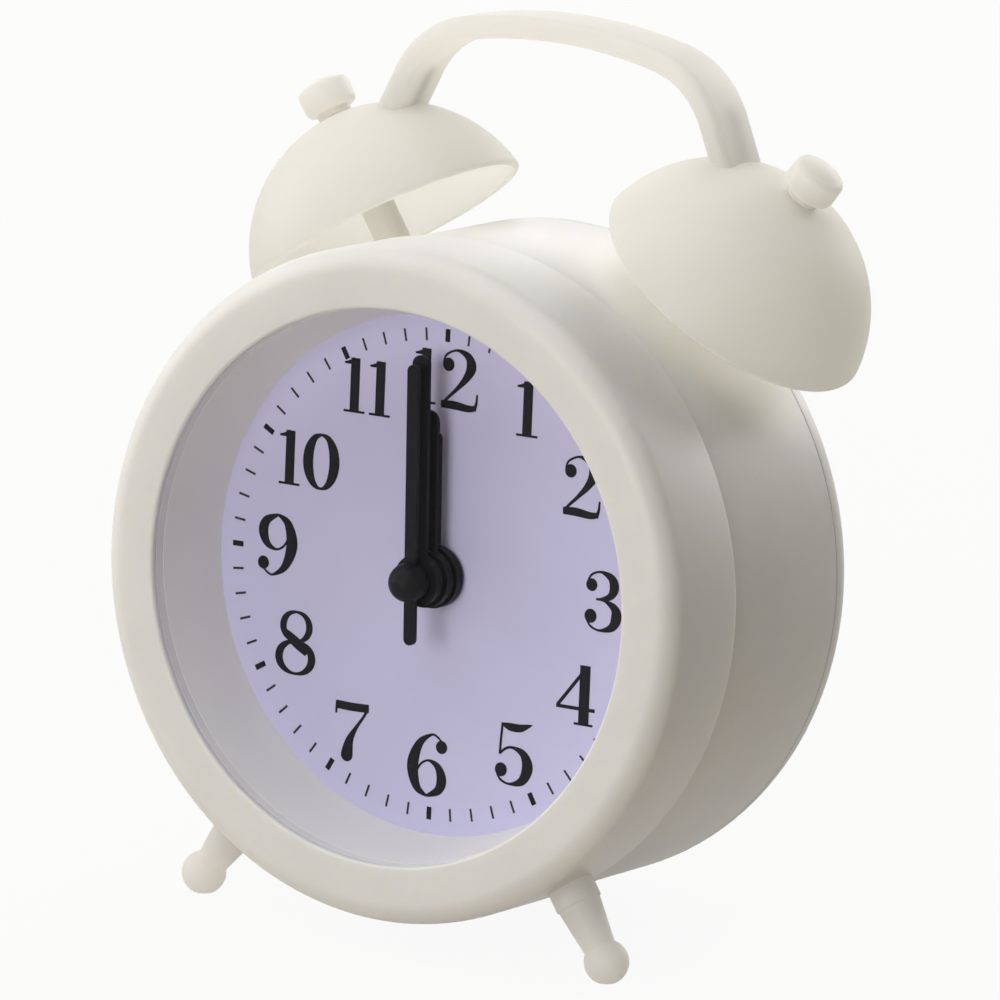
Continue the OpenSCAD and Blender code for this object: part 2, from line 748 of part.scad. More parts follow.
module rear_cover() {
  inside_r = rear_spigot_r - spigot_t;
  color("ivory") stand() difference() {
    union() {
      difference() {
        cover_outer();
        turned() translate([0, drum_back - past]) square([inside_r, cover_in - drum_back + past]);
      }
      turned() translate([inside_r, drum_back - spigot_len]) square([spigot_t, spigot_len + wall]);
      for (a = boss_angles)
        around(a) rod([0, boss_at], boss_r, boss_back, cover_in + wall/2);
      intersection() {
        tray_block(tray_t, tray_t, tray_front - tray_t, cover_in + wall/2);
        turned() square([rear_spigot_r, rear_face]);
      }
    }
    for (a = boss_angles) around(a) {
      rod([0, boss_at], screw_r + slip, boss_back - past, rear_face);
      rod([0, boss_at], screw_head_r + slip, rear_face - screw_head_h, rear_face + past);
    }
    for (side = [-1, 1]) at_bell(side)
      translate([0, 0, drum_in/2]) cylinder(r = nut_r + free, h = drum_in - drum_in/2 + slip);
    tray_block(0, 0, tray_front, rear_face + past);
    tray_block(door_ledge, door_ledge, rear_face - door_t, rear_face + past);
    door_bar(hinge_pin_r + run_fit, hinge_pin_len + slip);
    for (side = [-1, 1])
      translate([side*(tray_x - contact_t/2), battery_y, -battery_drop + tray_h])
        cube([contact_t + 2*slip, contact_w + 2*slip, 4*tray_t], center = true);
    for (at = [set_at, alarm_set_at])
      rod(at, set_shaft_r + free, cover_in - past, rear_face + past);
    translate([switch_x - switch_w/2 - free, cover_in - past, switch_z - switch_h/2 - free])
      cube([switch_w + 2*free, wall + 2*past, switch_h + switch_travel + 2*free]);
    rod([0, buzzer_z], sound_r, cover_in - past, rear_face + past);
    for (a = [0:60:300])
      rod([0, buzzer_z] + sound_ring*[cos(a), sin(a)], sound_r, cover_in - past, rear_face + past);
  }
}

module rear_cover_screws() {
  color("silver") stand() for (a = boss_angles)
    around(a) translate([0, rear_face - screw_head_h, boss_at])
      rotate([90, 0, 0]) screw(rear_face - screw_head_h - boss_front - hole_floor - tip_gap);
}

// A round bar on the door's hinge axis, out past each edge of its recess
module door_bar(r, out) {
  translate([-door_x - out, hinge_y, hinge_z]) rotate([0, 90, 0]) cylinder(r = r, h = 2*(door_x + out));
}

module battery_door() {
  bottom = -battery_drop - door_h + free;
  color("ivory") stand() {
    difference() {
      intersection() {
        translate([-door_x + free, rear_face - 2*hinge_r, bottom])
          cube([2*(door_x - free), 2*hinge_r, hinge_z - bottom]);
        cover_outer();
      }
      rod([0, bottom], door_notch/2, rear_face - hinge_r, rear_face + past);
    }
    door_bar(hinge_r, -free);
    door_bar(hinge_pin_r, hinge_pin_len);
  }
}

module battery() {
  color("goldenrod") stand() translate([-battery_len/2, battery_y, -battery_drop]) rotate([0, 90, 0]) {
    cylinder(r = battery_r, h = battery_len - terminal_h);
    cylinder(r = terminal_r, h = battery_len);
  }
}

module contact(side) {
  stand() on_side(side)
    translate([tray_x - contact_t, battery_y - contact_w/2, -battery_drop - contact_w/2])
      cube([contact_t, contact_w, contact_w/2 + contact_top]);
}

module positive_contact() {
  color("silver") contact(1);
}

module negative_contact() {
  color("silver") contact(-1);
}

// Bells

module bell(side) {
  color("ivory") stand() difference() {
    at_bell(side) rotate_extrude() difference() {
      translate([0, bell_c]) intersection() {
        circle(bell_r);
        translate([0, bell_sink]) square([bell_r, bell_r]);
      }
      translate([0, bell_c]) circle(dome_in);
      translate([0, bell_c]) square([stud_r + slip, 2*bell_r]);
    }
    at_leg(side) translate([0, 0, leg_len/2]) cylinder(r = screw_r + slip, h = leg_len/2 + bell_r/2);
  }
}

module left_bell() {
  bell(-1);
}

module right_bell() {
  bell(1);
}

module bell_post(side) {
  inner_end = drum_in - nut_h - tip_gap;
  color("ivory") stand() at_bell(side) {
    translate([0, 0, inner_end]) cylinder(r = stud_r, h = bell_top + knob_stud - inner_end);
    translate([0, 0, drum_r + seat]) cylinder(r = post_r, h = post_top - drum_r - seat);
  }
}

module left_bell_post() {
  bell_post(-1);
}

module right_bell_post() {
  bell_post(1);
}

module bell_knob(side) {
  head_z = bell_top + seat + knob_neck;
  flat_r = knob_r - knob_edge;
  dome_r = (flat_r*flat_r + knob_dome*knob_dome)/(2*knob_dome);
  color("ivory") stand() at_bell(side) rotate_extrude() difference() {
    union() {
      translate([0, bell_top + seat]) square([post_r, knob_neck + knob_edge]);
      translate([0, head_z]) square([flat_r, knob_h]);
      translate([0, head_z + knob_edge]) square([knob_r, knob_h - 2*knob_edge]);
      for (z = [knob_edge, knob_h - knob_edge])
        translate([flat_r, head_z + z]) circle(knob_edge);
      translate([0, head_z + knob_h]) intersection() {
        translate([0, knob_dome - dome_r]) circle(dome_r);
        square([knob_r, knob_dome]);
      }
    }
    translate([0, bell_top - past]) square([stud_r + seat, knob_stud + past + slip]);
    translate([-2*knob_r, bell_top - past]) square([2*knob_r, 2*bell_r]);
  }
}

module left_bell_knob() {
  bell_knob(-1);
}

module right_bell_knob() {
  bell_knob(1);
}

module bell_post_nuts() {
  nut_top = sqrt(drum_in*drum_in - nut_r*nut_r) - seat;
  color("silver") stand() for (side = [-1, 1]) at_bell(side)
    translate([0, 0, nut_top - nut_h]) difference() {
      cylinder(r = nut_r, h = nut_h, $fn = 6);
      translate([0, 0, -past]) cylinder(r = stud_r + seat, h = nut_h + 2*past);
    }
}

// Handle

// The strap's outline around the point x, z, turned to face the angle a
function strap_ring(x, z, a) = [
  for (p = strap_points) [x + p[0]*cos(a), bell_depth + p[1], z + p[0]*sin(a)]
];

// Rings along a bend of radius r around x, z
function strap_bend(x, z, r, a0, a1, n) = [
  for (i = [0:n]) let (a = a0 + (a1 - a0)*i/n) strap_ring(x + r*cos(a), z + r*sin(a), a)
];

// A point carried along a leg of the handle to the surface of the dome
function to_dome(p, side) =
  let (
    way = [side*leg_dir[0], 0, leg_dir[1]],
    gap = [side*dome_x, bell_depth, dome_z] - p,
    along = gap*way
  )
  p + (along - sqrt(along*along - gap*gap + pow(bell_r + leg_seat, 2)))*way;

module handle() {
  corner_steps = 8;
  bow_steps = 12;
  rings = concat(
    [[for (p = strap_ring(leg_x, leg_z, 90 - leg_a)) to_dome(p, 1)]],
    strap_bend(corner_x, corner_z, handle_corner, 90 - leg_a, 90 - bow_a, corner_steps),
    [for (i = [1:bow_steps - 1]) let (a = 90 - bow_a + 2*bow_a*i/bow_steps)
      strap_ring(handle_bow*cos(a), bow_z + handle_bow*sin(a), a)],
    strap_bend(-corner_x, corner_z, handle_corner, 90 + bow_a, 90 + leg_a, corner_steps),
    [[for (p = strap_ring(-leg_x, leg_z, 90 + leg_a)) to_dome(p, -1)]]
  );
  tips = [for (side = [1, -1]) to_dome([side*leg_x, bell_depth, leg_z], side)];
  color("ivory") stand() difference() {
    loft(rings, tips);
    for (side = [-1, 1])
      at_leg(side) translate([0, 0, leg_len - handle_screw_len - slip])
        cylinder(r = screw_r + seat, h = bell_r);
  }
}

module handle_screws() {
  color("silver") stand() for (side = [-1, 1])
    at_leg(side) translate([0, 0, handle_head]) rotate([180, 0, 0])
      screw(handle_head - leg_len + handle_screw_len);
}

// Feet

module foot(side) {
  color("ivory") difference() {
    stand() at_foot(side) difference() {
      rotate_extrude() {
        polygon([
          [0, bezel_r + seat], [foot_top_r, bezel_r + seat], [foot_neck_r, foot_at - foot_ball_r/2],
          [foot_neck_r, foot_at], [0, foot_at]
        ]);
        translate([0, foot_at]) intersection() {
          circle(foot_ball_r);
          translate([0, -foot_ball_r]) square([foot_ball_r, 2*foot_ball_r]);
        }
      }
      translate([0, 0, bezel_r - past])
        cylinder(r = screw_r + seat, h = past + foot_screw_len + slip);
    }
    translate([-2*bezel_r, -2*bezel_r, -bezel_r]) cube([4*bezel_r, 4*bezel_r, bezel_r]);
  }
}

module left_foot() {
  foot(-1);
}

module right_foot() {
  foot(1);
}

module foot_screws() {
  head_top = sqrt(bezel_bore*bezel_bore - screw_head_r*screw_head_r) - seat;
  color("silver") stand() for (side = [-1, 1])
    at_foot(side) translate([0, 0, head_top]) screw(bezel_r + foot_screw_len - head_top);
}

// Movement

module box_outline(grow) {
  translate([box_x0 - grow, box_z0 - grow])
    square([box_x1 - box_x0 + 2*grow, box_z1 - box_z0 + 2*grow]);
}

module movement_base() {
  color("gainsboro") stand() difference() {
    union() {
      slab(dial_back, box_front) box_outline(box_wall);
      slab(dial_back, box_back) difference() {
        box_outline(box_wall);
        box_outline(0);
      }
      for (x = ear_xs) difference() {
        rod([x, ear_z], ear_r, dial_back, box_back);
        slab(box_front, box_back + past) box_outline(0);
      }
      rod(motion_at, motion_pin_r, box_front - plate_t/2, motion_y + wheel_t + pinion_over);
    }
    rod([0, 0], alarm_pipe_r + run_fit, dial_back - past, box_front + past);
    for (x = peg_xs) rod([x, peg_z], peg_r + seat, dial_back - past, box_front + past);
    for (at = [set_at, alarm_set_at, third_at])
      rod(at, pin_r + run_fit, dial_back + wheel_t/2, box_front + past);
    for (x = ear_xs) rod([x, ear_z], screw_r + seat, box_front + hole_floor, box_back + past);
  }
}

module movement_cover() {
  color("gainsboro") stand() difference() {
    union() {
      slab(box_back, cover_back) box_outline(box_wall);
      for (x = ear_xs) rod([x, ear_z], ear_r, box_back, cover_back);
      rod(intermediate_at, pin_r, second_y - pinion_over, box_back + plate_t/2);
      rod(rotor_at, pin_r, intermediate_y - pinion_over, box_back + plate_t/2);
      for (x = stator_pin_xs) rod([x, rotor_at[1]], stator_pin_r, stator_y + iron_t, box_back + plate_t/2);
    }
    rod([0, 0], arbor_r + run_fit, box_back - past, cover_back - wheel_t/2);
    rod(third_at, pin_r + run_fit, box_back - past, cover_back - wheel_t/2);
    for (at = [set_at, alarm_set_at])
      rod(at, set_shaft_r + run_fit, box_back - past, cover_back + past);
    for (x = ear_xs) rod([x, ear_z], screw_r + slip, box_back - past, cover_back + past);
  }
}

module movement_screws() {
  color("silver") stand() for (x = ear_xs)
    translate([x, cover_back, ear_z])
      rotate([90, 0, 0]) screw(cover_back - box_front - hole_floor - tip_gap);
}

module circuit_board() {
  color("darkgreen") stand() slab(box_back - board_t, box_back) difference() {
    translate([box_x0 + box_room, box_z0 + box_room])
      square([board_x1 - box_x0 - box_room, board_z1 - box_z0 - box_room]);
    translate(rotor_at) circle(pin_r + free);
    for (x = stator_pin_xs) translate([x, rotor_at[1]]) circle(stator_pin_r + slip);
  }
}

module quartz_crystal() {
  color("silver") stand()
    translate([box_x0 + 2*box_room, box_back - board_t - crystal_r, box_z0 + 2*box_room + crystal_r])
      rotate([0, 90, 0]) cylinder(r = crystal_r, h = crystal_len);
}

module control_chip() {
  color("dimgray") stand()
    translate([box_x0 + 2*box_room, box_back - board_t - chip_t, board_z1 - box_room - chip_h])
      cube([chip_w, chip_t, chip_h]);
}

module stator() {
  bar_x0 = coil_x - arm_x;
  color("slategray") stand() slab(stator_y, stator_y + iron_t) difference() {
    union() {
      translate([bar_x0, rotor_at[1] - iron_w/2]) square([2*arm_x, iron_w]);
      for (x = [bar_x0, coil_x + arm_x - iron_w])
        translate([x, rotor_at[1] - iron_w/2]) square([iron_w, coil_up + iron_w]);
      translate(rotor_at) circle(stator_r);
    }
    translate(rotor_at) circle(magnet_r + magnet_gap);
  }
}

module coil_core() {
  color("slategray") stand()
    translate([coil_x - arm_x, stator_y - iron_t, coil_z - iron_w/2]) cube([2*arm_x, iron_t, iron_w]);
}

module coil_bobbin() {
  color("ivory") stand() translate([coil_x, coil_y, coil_z]) difference() {
    union() {
      rotate([0, 90, 0]) cylinder(r = spool_r, h = coil_len, center = true);
      for (s = [-1, 1]) translate([s*(coil_len - flange_t)/2, 0, 0])
        rotate([0, 90, 0]) cylinder(r = coil_r + flange_over, h = flange_t, center = true);
    }
    cube([coil_len + past, iron_t + 2*seat, iron_w + 2*seat], center = true);
  }
}

module coil_winding() {
  color("peru") stand() translate([coil_x, coil_y, coil_z]) rotate([0, 90, 0]) difference() {
    cylinder(r = coil_r, h = coil_len - 2*flange_t - 2*seat, center = true);
    cylinder(r = spool_r + seat, h = coil_len, center = true);
  }
}

// Wheels of the going train

module rotor() {
  color("dimgray") stand() difference() {
    union() {
      gear_slab(rotor_at, pinion_n, rotor_m, rotor_phase, intermediate_y - pinion_over,
        magnet_y - intermediate_y + pinion_over);
      rod(rotor_at, magnet_r, magnet_y, magnet_y + magnet_len);
    }
    rod(rotor_at, pin_r + run_fit, intermediate_y - past, box_back);
  }
}

module intermediate_wheel() {
  color("white") stand() difference() {
    union() {
      gear_slab(intermediate_at, intermediate_n, rotor_m, intermediate_phase, intermediate_y, wheel_t);
      gear_slab(intermediate_at, pinion_n, intermediate_m, intermediate_phase, second_y - pinion_over,
        intermediate_y - second_y + pinion_over);
    }
    rod(intermediate_at, pin_r + run_fit, second_y - past, box_back);
  }
}

module second_wheel() {
  color("white") stand() {
    gear_slab([0, 0], second_n, intermediate_m, second_phase, second_y, wheel_t);
    gear_slab([0, 0], pinion_n, second_m, second_phase, third_y - pinion_over,
      second_y - third_y + pinion_over);
    rod([0, 0], arbor_r, second_hand_y, cover_back - wheel_t);
  }
}

module third_wheel() {
  color("white") stand() {
    gear_slab(third_at, third_n, second_m, third_phase, third_y, wheel_t);
    gear_slab(third_at, pinion_n, third_m, third_phase, centre_y - pinion_over,
      third_y - centre_y + pinion_over);
    rod(third_at, pin_r, dial_back + wheel_t, cover_back - wheel_t);
  }
}

module centre_wheel() {
  color("white") stand() difference() {
    gear_slab([0, 0], centre_n, third_m, centre_phase, centre_y, wheel_t);
    rod([0, 0], clutch_r + run_fit, centre_y - past, third_y);
  }
}

module minute_pipe() {
  color("silver") stand() difference() {
    union() {
      rod([0, 0], minute_pipe_r, minute_hand_y, motion_y);
      gear_slab([0, 0], cannon_n, cannon_m, 0, motion_y - pinion_over, pinion_t);
      rod([0, 0], clutch_r, motion_y, centre_y + wheel_t + layer_gap);
    }
    rod([0, 0], arbor_r + run_fit, minute_hand_y - past, third_y);
  }
}

module motion_wheel() {
  color("white") stand() difference() {
    union() {
      gear_slab(motion_at, motion_n, cannon_m, motion_phase, motion_y, wheel_t);
      gear_slab(motion_at, pinion_n, motion_m, motion_phase, hour_y - pinion_over,
        motion_y - hour_y + pinion_over);
    }
    rod(motion_at, motion_pin_r + run_fit, box_front, centre_y);
  }
}

module hour_wheel() {
  color("white") stand() difference() {
    union() {
      gear_slab([0, 0], hour_n, motion_m, hour_phase, hour_y, wheel_t);
      rod([0, 0], hour_pipe_r, hour_hand_y, hour_y + wheel_t);
    }
    rod([0, 0], minute_pipe_r + run_fit, hour_hand_y - past, motion_y);
  }
}

module alarm_wheel() {
  color("white") stand() difference() {
    union() {
      gear_slab([0, 0], alarm_n, alarm_m, 0, alarm_y, wheel_t);
      rod([0, 0], alarm_pipe_r, alarm_hand_y, alarm_y + wheel_t);
    }
    rod([0, 0], hour_pipe_r + run_fit, alarm_hand_y - past, hour_y);
  }
}

// Hands, all at twelve

module hand(y, hub_r, bore_r, len, w, tail) {
  mid = y + hub_t/2;
  around(hands_at) difference() {
    union() {
      rod([0, 0], hub_r, y, y + hub_t);
      slab(mid - blade_t/2, mid + blade_t/2) {
        translate([-w/2, 0]) square([w, len - w/2]);
        translate([0, len - w/2]) circle(w/2);
        if (tail > 0) {
          translate([-w/2, -tail + w/2]) square([w, tail]);
          translate([0, -tail + w/2]) circle(w/2);
        }
      }
    }
    rod([0, 0], bore_r + seat, y - past, y + hub_t + past);
  }
}

module second_hand() {
  color("black") stand() {
    hand(second_hand_y, second_hub_r, arbor_r, second_len, second_w, second_tail);
    difference() {
      translate([0, second_hand_y, 0]) sphere(cap_r);
      translate([-2*cap_r, second_hand_y, -2*cap_r]) cube(4*cap_r);
    }
  }
}

module minute_hand() {
  color("black") stand() hand(minute_hand_y, minute_hub_r, minute_pipe_r, minute_len, minute_w, 0);
}

module hour_hand() {
  color("black") stand() hand(hour_hand_y, hour_hub_r, hour_pipe_r, hour_len, hour_w, 0);
}

module alarm_hand() {
  color("black") stand() hand(alarm_hand_y, alarm_hub_r, alarm_pipe_r, alarm_len, alarm_w, 0);
}

// Controls on the back

module set_shaft(at) {
  rod(at, pin_r, dial_back + wheel_t, alarm_y);
  children();
  rod(at, set_shaft_r, alarm_y, knob_y + set_knob_h/2);
}

module time_set_shaft() {
  color("white") stand() set_shaft(set_at)
    gear_slab(set_at, cannon_n, cannon_m, time_set_phase, motion_y - pinion_over, pinion_t);
}

module alarm_set_shaft() {
  color("white") stand() set_shaft(alarm_set_at)
    gear_slab(alarm_set_at, alarm_set_n, alarm_m, alarm_set_phase, alarm_y, wheel_t);
}

module set_knob(at) {
  color("ivory") stand() difference() {
    rod(at, set_knob_r, knob_y, knob_y + set_knob_h);
    rod(at, set_shaft_r + seat, knob_y - past, knob_y + set_knob_h/2 + seat);
    for (i = [0:set_flutes - 1])
      let (a = 360*i/set_flutes)
        rod(at + set_knob_r*[cos(a), sin(a)], flute_r, knob_y + set_knob_h/4, knob_y + set_knob_h + past);
  }
}

module time_set_knob() {
  set_knob(set_at);
}

module alarm_set_knob() {
  set_knob(alarm_set_at);
}

module alarm_switch() {
  x0 = switch_x - switch_w/2;
  z0 = switch_z - switch_h/2;
  color("gray") stand() {
    translate([x0, switch_flange_y, z0])
      cube([switch_w, rear_face + switch_out - switch_flange_y, switch_h]);
    translate([x0 - switch_flange, switch_flange_y, z0 - switch_flange])
      cube([switch_w + 2*switch_flange, switch_flange, switch_h + 2*switch_flange]);
  }
}

module alarm_contacts() {
  y1 = switch_flange_y - free;
  z0 = switch_z - switch_h/2 - 2*switch_flange;
  h = switch_h + switch_travel + 4*switch_flange;
  rail_x = switch_w/2 + switch_flange + free;
  color("dimgray") stand() {
    translate([switch_x - rail_x - switch_flange, y1 - switch_flange, z0])
      cube([2*(rail_x + switch_flange), switch_flange, h]);
    for (s = [-1, 1])
      translate([switch_x + s*(rail_x + switch_flange/2) - switch_flange/2, y1 - switch_flange, z0])
        cube([switch_flange, cover_in - y1 + switch_flange, h]);
  }
}

module buzzer() {
  color("black") stand() difference() {
    rod([0, buzzer_z], buzzer_r, cover_in - buzzer_h, cover_in);
    rod([0, buzzer_z], sound_ring + 2*sound_r, cover_in - buzzer_h/2, cover_in + past);
  }
}

// Leads from the battery contacts, the buzzer and the alarm switch to the movement

// A lead from a, leaving along out, to b on the movement's back
module lead(a, b, out) {
  start = a + slip*out;
  end = b + [0, slip, 0];
  stand() wire(lead_path(start, start + wire_out*out, end + [0, wire_out, 0], end), wire_r);
}

module leads() {
  mid_x = (box_x0 + box_x1)/2;
  switch_y = switch_flange_y - free - switch_flange;
  color("firebrick") for (side = [-1, 1]) {
    lead([side*(tray_x - contact_t/2), battery_y, contact_top - battery_drop],
      [mid_x + side*(mid_x - box_x0 - wire_in), cover_back, box_z0 + wire_in], [0, 0, 1]);
    lead([side*wire_in, cover_in - buzzer_h, buzzer_z - buzzer_r/2],
      [side*wire_in, cover_back, box_z1 - wire_in], [0, -1, 0]);
    lead([switch_x + side*switch_flange, switch_y, switch_z],
      [box_x1 - wire_in/2, cover_back, switch_z + 2*side*switch_flange], [0, -1, 0]);
  }
}

bezel();
case_shell();
rear_cover();
rear_cover_screws();
lens();
inner_ring();
dial();
left_bell();
right_bell();
left_bell_post();
right_bell_post();
left_bell_knob();
right_bell_knob();
bell_post_nuts();
handle();
handle_screws();
left_foot();
right_foot();
foot_screws();
movement_base();
movement_cover();
movement_screws();
circuit_board();
quartz_crystal();
control_chip();
stator();
coil_core();
coil_bobbin();
coil_winding();
rotor();
intermediate_wheel();
second_wheel();
second_hand();
third_wheel();
centre_wheel();
minute_pipe();
minute_hand();
motion_wheel();
hour_wheel();
hour_hand();
alarm_wheel();
alarm_hand();
time_set_shaft();
time_set_knob();
alarm_set_shaft();
alarm_set_knob();
alarm_switch();
alarm_contacts();
buzzer();
battery();
positive_contact();
negative_contact();
battery_door();
leads();
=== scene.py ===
# Looks of a small twin bell alarm clock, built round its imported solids.
import json
import math

import bmesh
import bpy
from mathutils import Matrix, Vector


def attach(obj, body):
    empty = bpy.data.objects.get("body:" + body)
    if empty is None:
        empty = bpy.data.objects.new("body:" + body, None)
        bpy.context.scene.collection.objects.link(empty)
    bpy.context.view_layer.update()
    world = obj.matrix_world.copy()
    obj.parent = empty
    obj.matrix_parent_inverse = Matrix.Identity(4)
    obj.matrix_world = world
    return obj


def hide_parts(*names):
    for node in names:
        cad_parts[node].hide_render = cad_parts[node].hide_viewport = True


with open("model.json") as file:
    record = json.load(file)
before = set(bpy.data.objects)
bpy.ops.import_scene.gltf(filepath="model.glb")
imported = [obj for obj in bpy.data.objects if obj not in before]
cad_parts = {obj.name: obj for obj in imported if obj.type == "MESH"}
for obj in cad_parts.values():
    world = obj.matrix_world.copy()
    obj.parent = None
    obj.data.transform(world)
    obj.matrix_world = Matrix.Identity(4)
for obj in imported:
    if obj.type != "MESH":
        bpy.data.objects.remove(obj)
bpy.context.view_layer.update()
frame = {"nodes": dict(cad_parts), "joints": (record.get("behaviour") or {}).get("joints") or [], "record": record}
nodes = frame["nodes"]
MM = 0.001

# Angles of the bells, feet and handle legs from upright, in degrees.
bell_angle = 34.5
foot_angle = 35.0
handle_splay = 24.0
SIDES = {"left": -1, "right": 1}

# Bezel, drum and ring, in mm.
bezel_edge = 3.0
bezel_wall = 2.8
lip_t = 1.0
lip_edge = 0.45
seam_edge = 0.2
lens_gap = 0.05
drum_wall = 2.0
ring_t = 1.4
ring_show = 0.1

# Bells and their knobs, in mm.
bell_wall = 1.1
stud_r = 1.5
knob_neck_r = 2.2
knob_neck_h = 0.8
knob_edge = 0.9
knob_dome = 0.6

# Feet, in mm: a collar at the bezel, a cone and a ball.
foot_at = 52.4
foot_ball_r = 2.8
foot_collar_r = 2.95
foot_collar_h = 2.6
foot_cone_r = 2.75
foot_neck_r = 2.05
foot_edge = 0.25
foot_sink = 0.2

# Handle strap, in mm.
strap_t = 3.0
strap_w = 8.4
strap_edge = 1.2
bow_r = 67.0
bow_half = 14.2
corner_r = 11.8

# Print on the dial: its turn clockwise in degrees, and its sizes in mm.
HOURS = 12
MINUTES = 60
dial_turn = -2.0
tick_r = 30.0
tick_len = 1.6
hour_tick_w = 0.7
minute_tick_w = 0.3
numeral_h = 7.6
numeral_r = 24.0
numeral_gap = 0.35

# Thickness of the ink, in mm: a tick or a figure's first stroke, what each further stroke adds, a round end.
ink_t = 0.02
ink_step = 0.002
dot_t = 0.03

# How far some hours stand off their circle, to the right and up, in mm.
numeral_shift = {
    1: (0.0, 1.6),
    2: (-0.5, 1.8),
    6: (-0.6, 0.0),
    7: (0.0, -0.7),
    8: (0.0, 0.6),
    9: (0.0, 0.6),
    10: (0.9, -0.1),
    11: (0.4, 1.4),
    12: (0.0, 0.7),
}

# Camera and the point it looks at, in mm along the clock's axes, its lens in mm and its nearest view in m.
camera_at = (657.1, -1011.2, 252.5)
camera_look = (13.9, 3.5, 13.0)
camera_lens = 362.4
camera_clip = 0.1

# Lights: way to each from the clock, distance and size in m, and how bright it makes a white card facing it.
lights = {
    "key": ((-0.15, -0.06, 1.0), 1.0, 1.2, 0.68),
    "front": ((0.0, -1.0, 0.26), 1.0, 0.6, 0.41),
    "left": ((-1.0, -0.2, 0.35), 1.0, 0.8, 0.34),
    "back_left": ((-0.5, 0.9, 0.5), 1.0, 1.0, 0.24),
    "back": ((0.16, 1.0, 0.28), 1.0, 0.6, 0.36),
}

# Room and floor: colours, the floor's half width in m, its roughness and drift, and its white in the view.
room_colour = (0.01, 0.009, 0.008)
floor_colour = (0.58, 0.52, 0.45)
floor_half = 4.0
floor_rough = 0.8
floor_vary = 0.01
floor_white = 0.93

# Drift of a finish: its noise scale, the span of noise used and the share of roughness it moves.
drift_scale = 60.0
drift_span = (0.3, 0.7)
rough_drift = 0.1

# Grain of a finish: its noise scale and its depth in mm. Both noises have the same detail.
grain_scale = 900.0
grain_depth = 0.1
noise_detail = 3.0

# Steps round a turned piece, in a rounded edge and along a bend of the handle.
TURNS = 192
ROUND = 8
BEND_STEPS = 24

# Steps between two points of a pen stroke, round an oval and round the end of a stroke.
STROKE_STEPS = 6
OVAL_STEPS = 12
DOT_STEPS = 36

# Angle in degrees from which an edge is shaded sharp.
SHARP = 32


# Places

def clock_place():
    """The clock's axes from the middle of the bezel's face: x right, y to the back, z up."""
    joint = next(j for j in frame["joints"] if j["name"] == "second_spin")
    back = Vector(joint["axis"])
    centre = Vector(joint["pos_m"])
    face = min((v.co - centre).dot(back) for v in nodes["bezel"].data.vertices)
    turn = Matrix(((1, 0, 0), back, (0, -back.z, back.y))).transposed()
    return Matrix.Translation(centre + face * back) @ turn.to_4x4()


def reach(node, place):
    """Least and greatest radius about a place's z, and least and greatest height along it, in mm."""
    points = [place.inverted() @ v.co / MM for v in nodes[node].data.vertices]
    radii = [math.hypot(p.x, p.y) for p in points]
    heights = [p.z for p in points]
    return min(radii), max(radii), min(heights), max(heights)


def spoke_place(angle, depth):
    """A place at a depth in the clock, with z outward at an angle clockwise from upright."""
    turn = Matrix.Rotation(math.radians(angle), 4, "Y")
    return clock @ Matrix.Translation((0, depth * MM, 0)) @ turn


def middle_depth(node):
    """Middle of a node along the clock's depth, in mm."""
    depths = [(clock.inverted() @ v.co).y / MM for v in nodes[node].data.vertices]
    return (min(depths) + max(depths)) / 2


clock = clock_place()
drum_place = clock @ Matrix.Rotation(math.radians(-90), 4, "X")
face_place = clock @ Matrix.Rotation(math.radians(90), 4, "X")
window_r, bezel_r, _, bezel_back = reach("bezel", drum_place)
_, drum_r, _, drum_back = reach("case_shell", drum_place)
_, lens_r, _, lens_back = reach("lens", drum_place)
dial_view_r, ring_flange_r, _, dial_depth = reach("inner_ring", drum_place)
bell_depth = middle_depth("left_bell_post")
foot_depth = middle_depth("left_foot")
print_turn = Matrix.Rotation(math.radians(-dial_turn), 4, "Z")
print_place = face_place @ Matrix.Translation((0, 0, -dial_depth * MM)) @ print_turn


# Meshes

def arc(x, z, r, start, end, steps=ROUND):
    """Points on an arc about x, z, from one angle to another in degrees."""
    angles = [math.radians(start + (end - start) * i / steps) for i in range(steps + 1)]
    return [(x + r * math.cos(a), z + r * math.sin(a)) for a in angles]


def lathe(profile, turns=TURNS):
    """A closed profile of radius and height, in mm, turned about z."""
    bm = bmesh.new()
    rings = []
    for r, z in profile:
        if r == 0:
            rings.append([bm.verts.new((0, 0, z * MM))] * turns)
            continue
        angles = [2 * math.pi * i / turns for i in range(turns)]
        rings.append([bm.verts.new((r * MM * math.cos(a), r * MM * math.sin(a), z * MM)) for a in angles])
    for low, high in zip(rings, rings[1:] + rings[:1]):
        for i in range(turns):
            j = (i + 1) % turns
            corners = list(dict.fromkeys((low[i], low[j], high[j], high[i])))
            if len(corners) > 2:
                bm.faces.new(corners)
    return bm


def sweep(rings, bm=None):
    """A closed skin through rings of points, in mm, capped at both ends."""
    bm = bm or bmesh.new()
    loops = [[bm.verts.new(Vector(p) * MM) for p in ring] for ring in rings]
    for low, high in zip(loops, loops[1:]):
        for i in range(len(low)):
            j = (i + 1) % len(low)
            bm.faces.new((low[i], low[j], high[j], high[i]))
    bm.faces.new(reversed(loops[0]))
    bm.faces.new(loops[-1])
    return bm


def piece(name, bm, place, material, body, slot, *replaced):
    """An object from a mesh, on its body, in place of the nodes it stands for."""
    bmesh.ops.recalc_face_normals(bm, faces=bm.faces)
    mesh = bpy.data.meshes.new(name)
    bm.to_mesh(mesh)
    bm.free()
    mesh.polygons.foreach_set("use_smooth", [True] * len(mesh.polygons))
    mesh.set_sharp_from_angle(angle=math.radians(SHARP))
    mesh.materials.append(material)
    obj = bpy.data.objects.new(name, mesh)
    bpy.context.scene.collection.objects.link(obj)
    obj.matrix_world = place
    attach(obj, body)
    if replaced:
        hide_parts(*replaced)


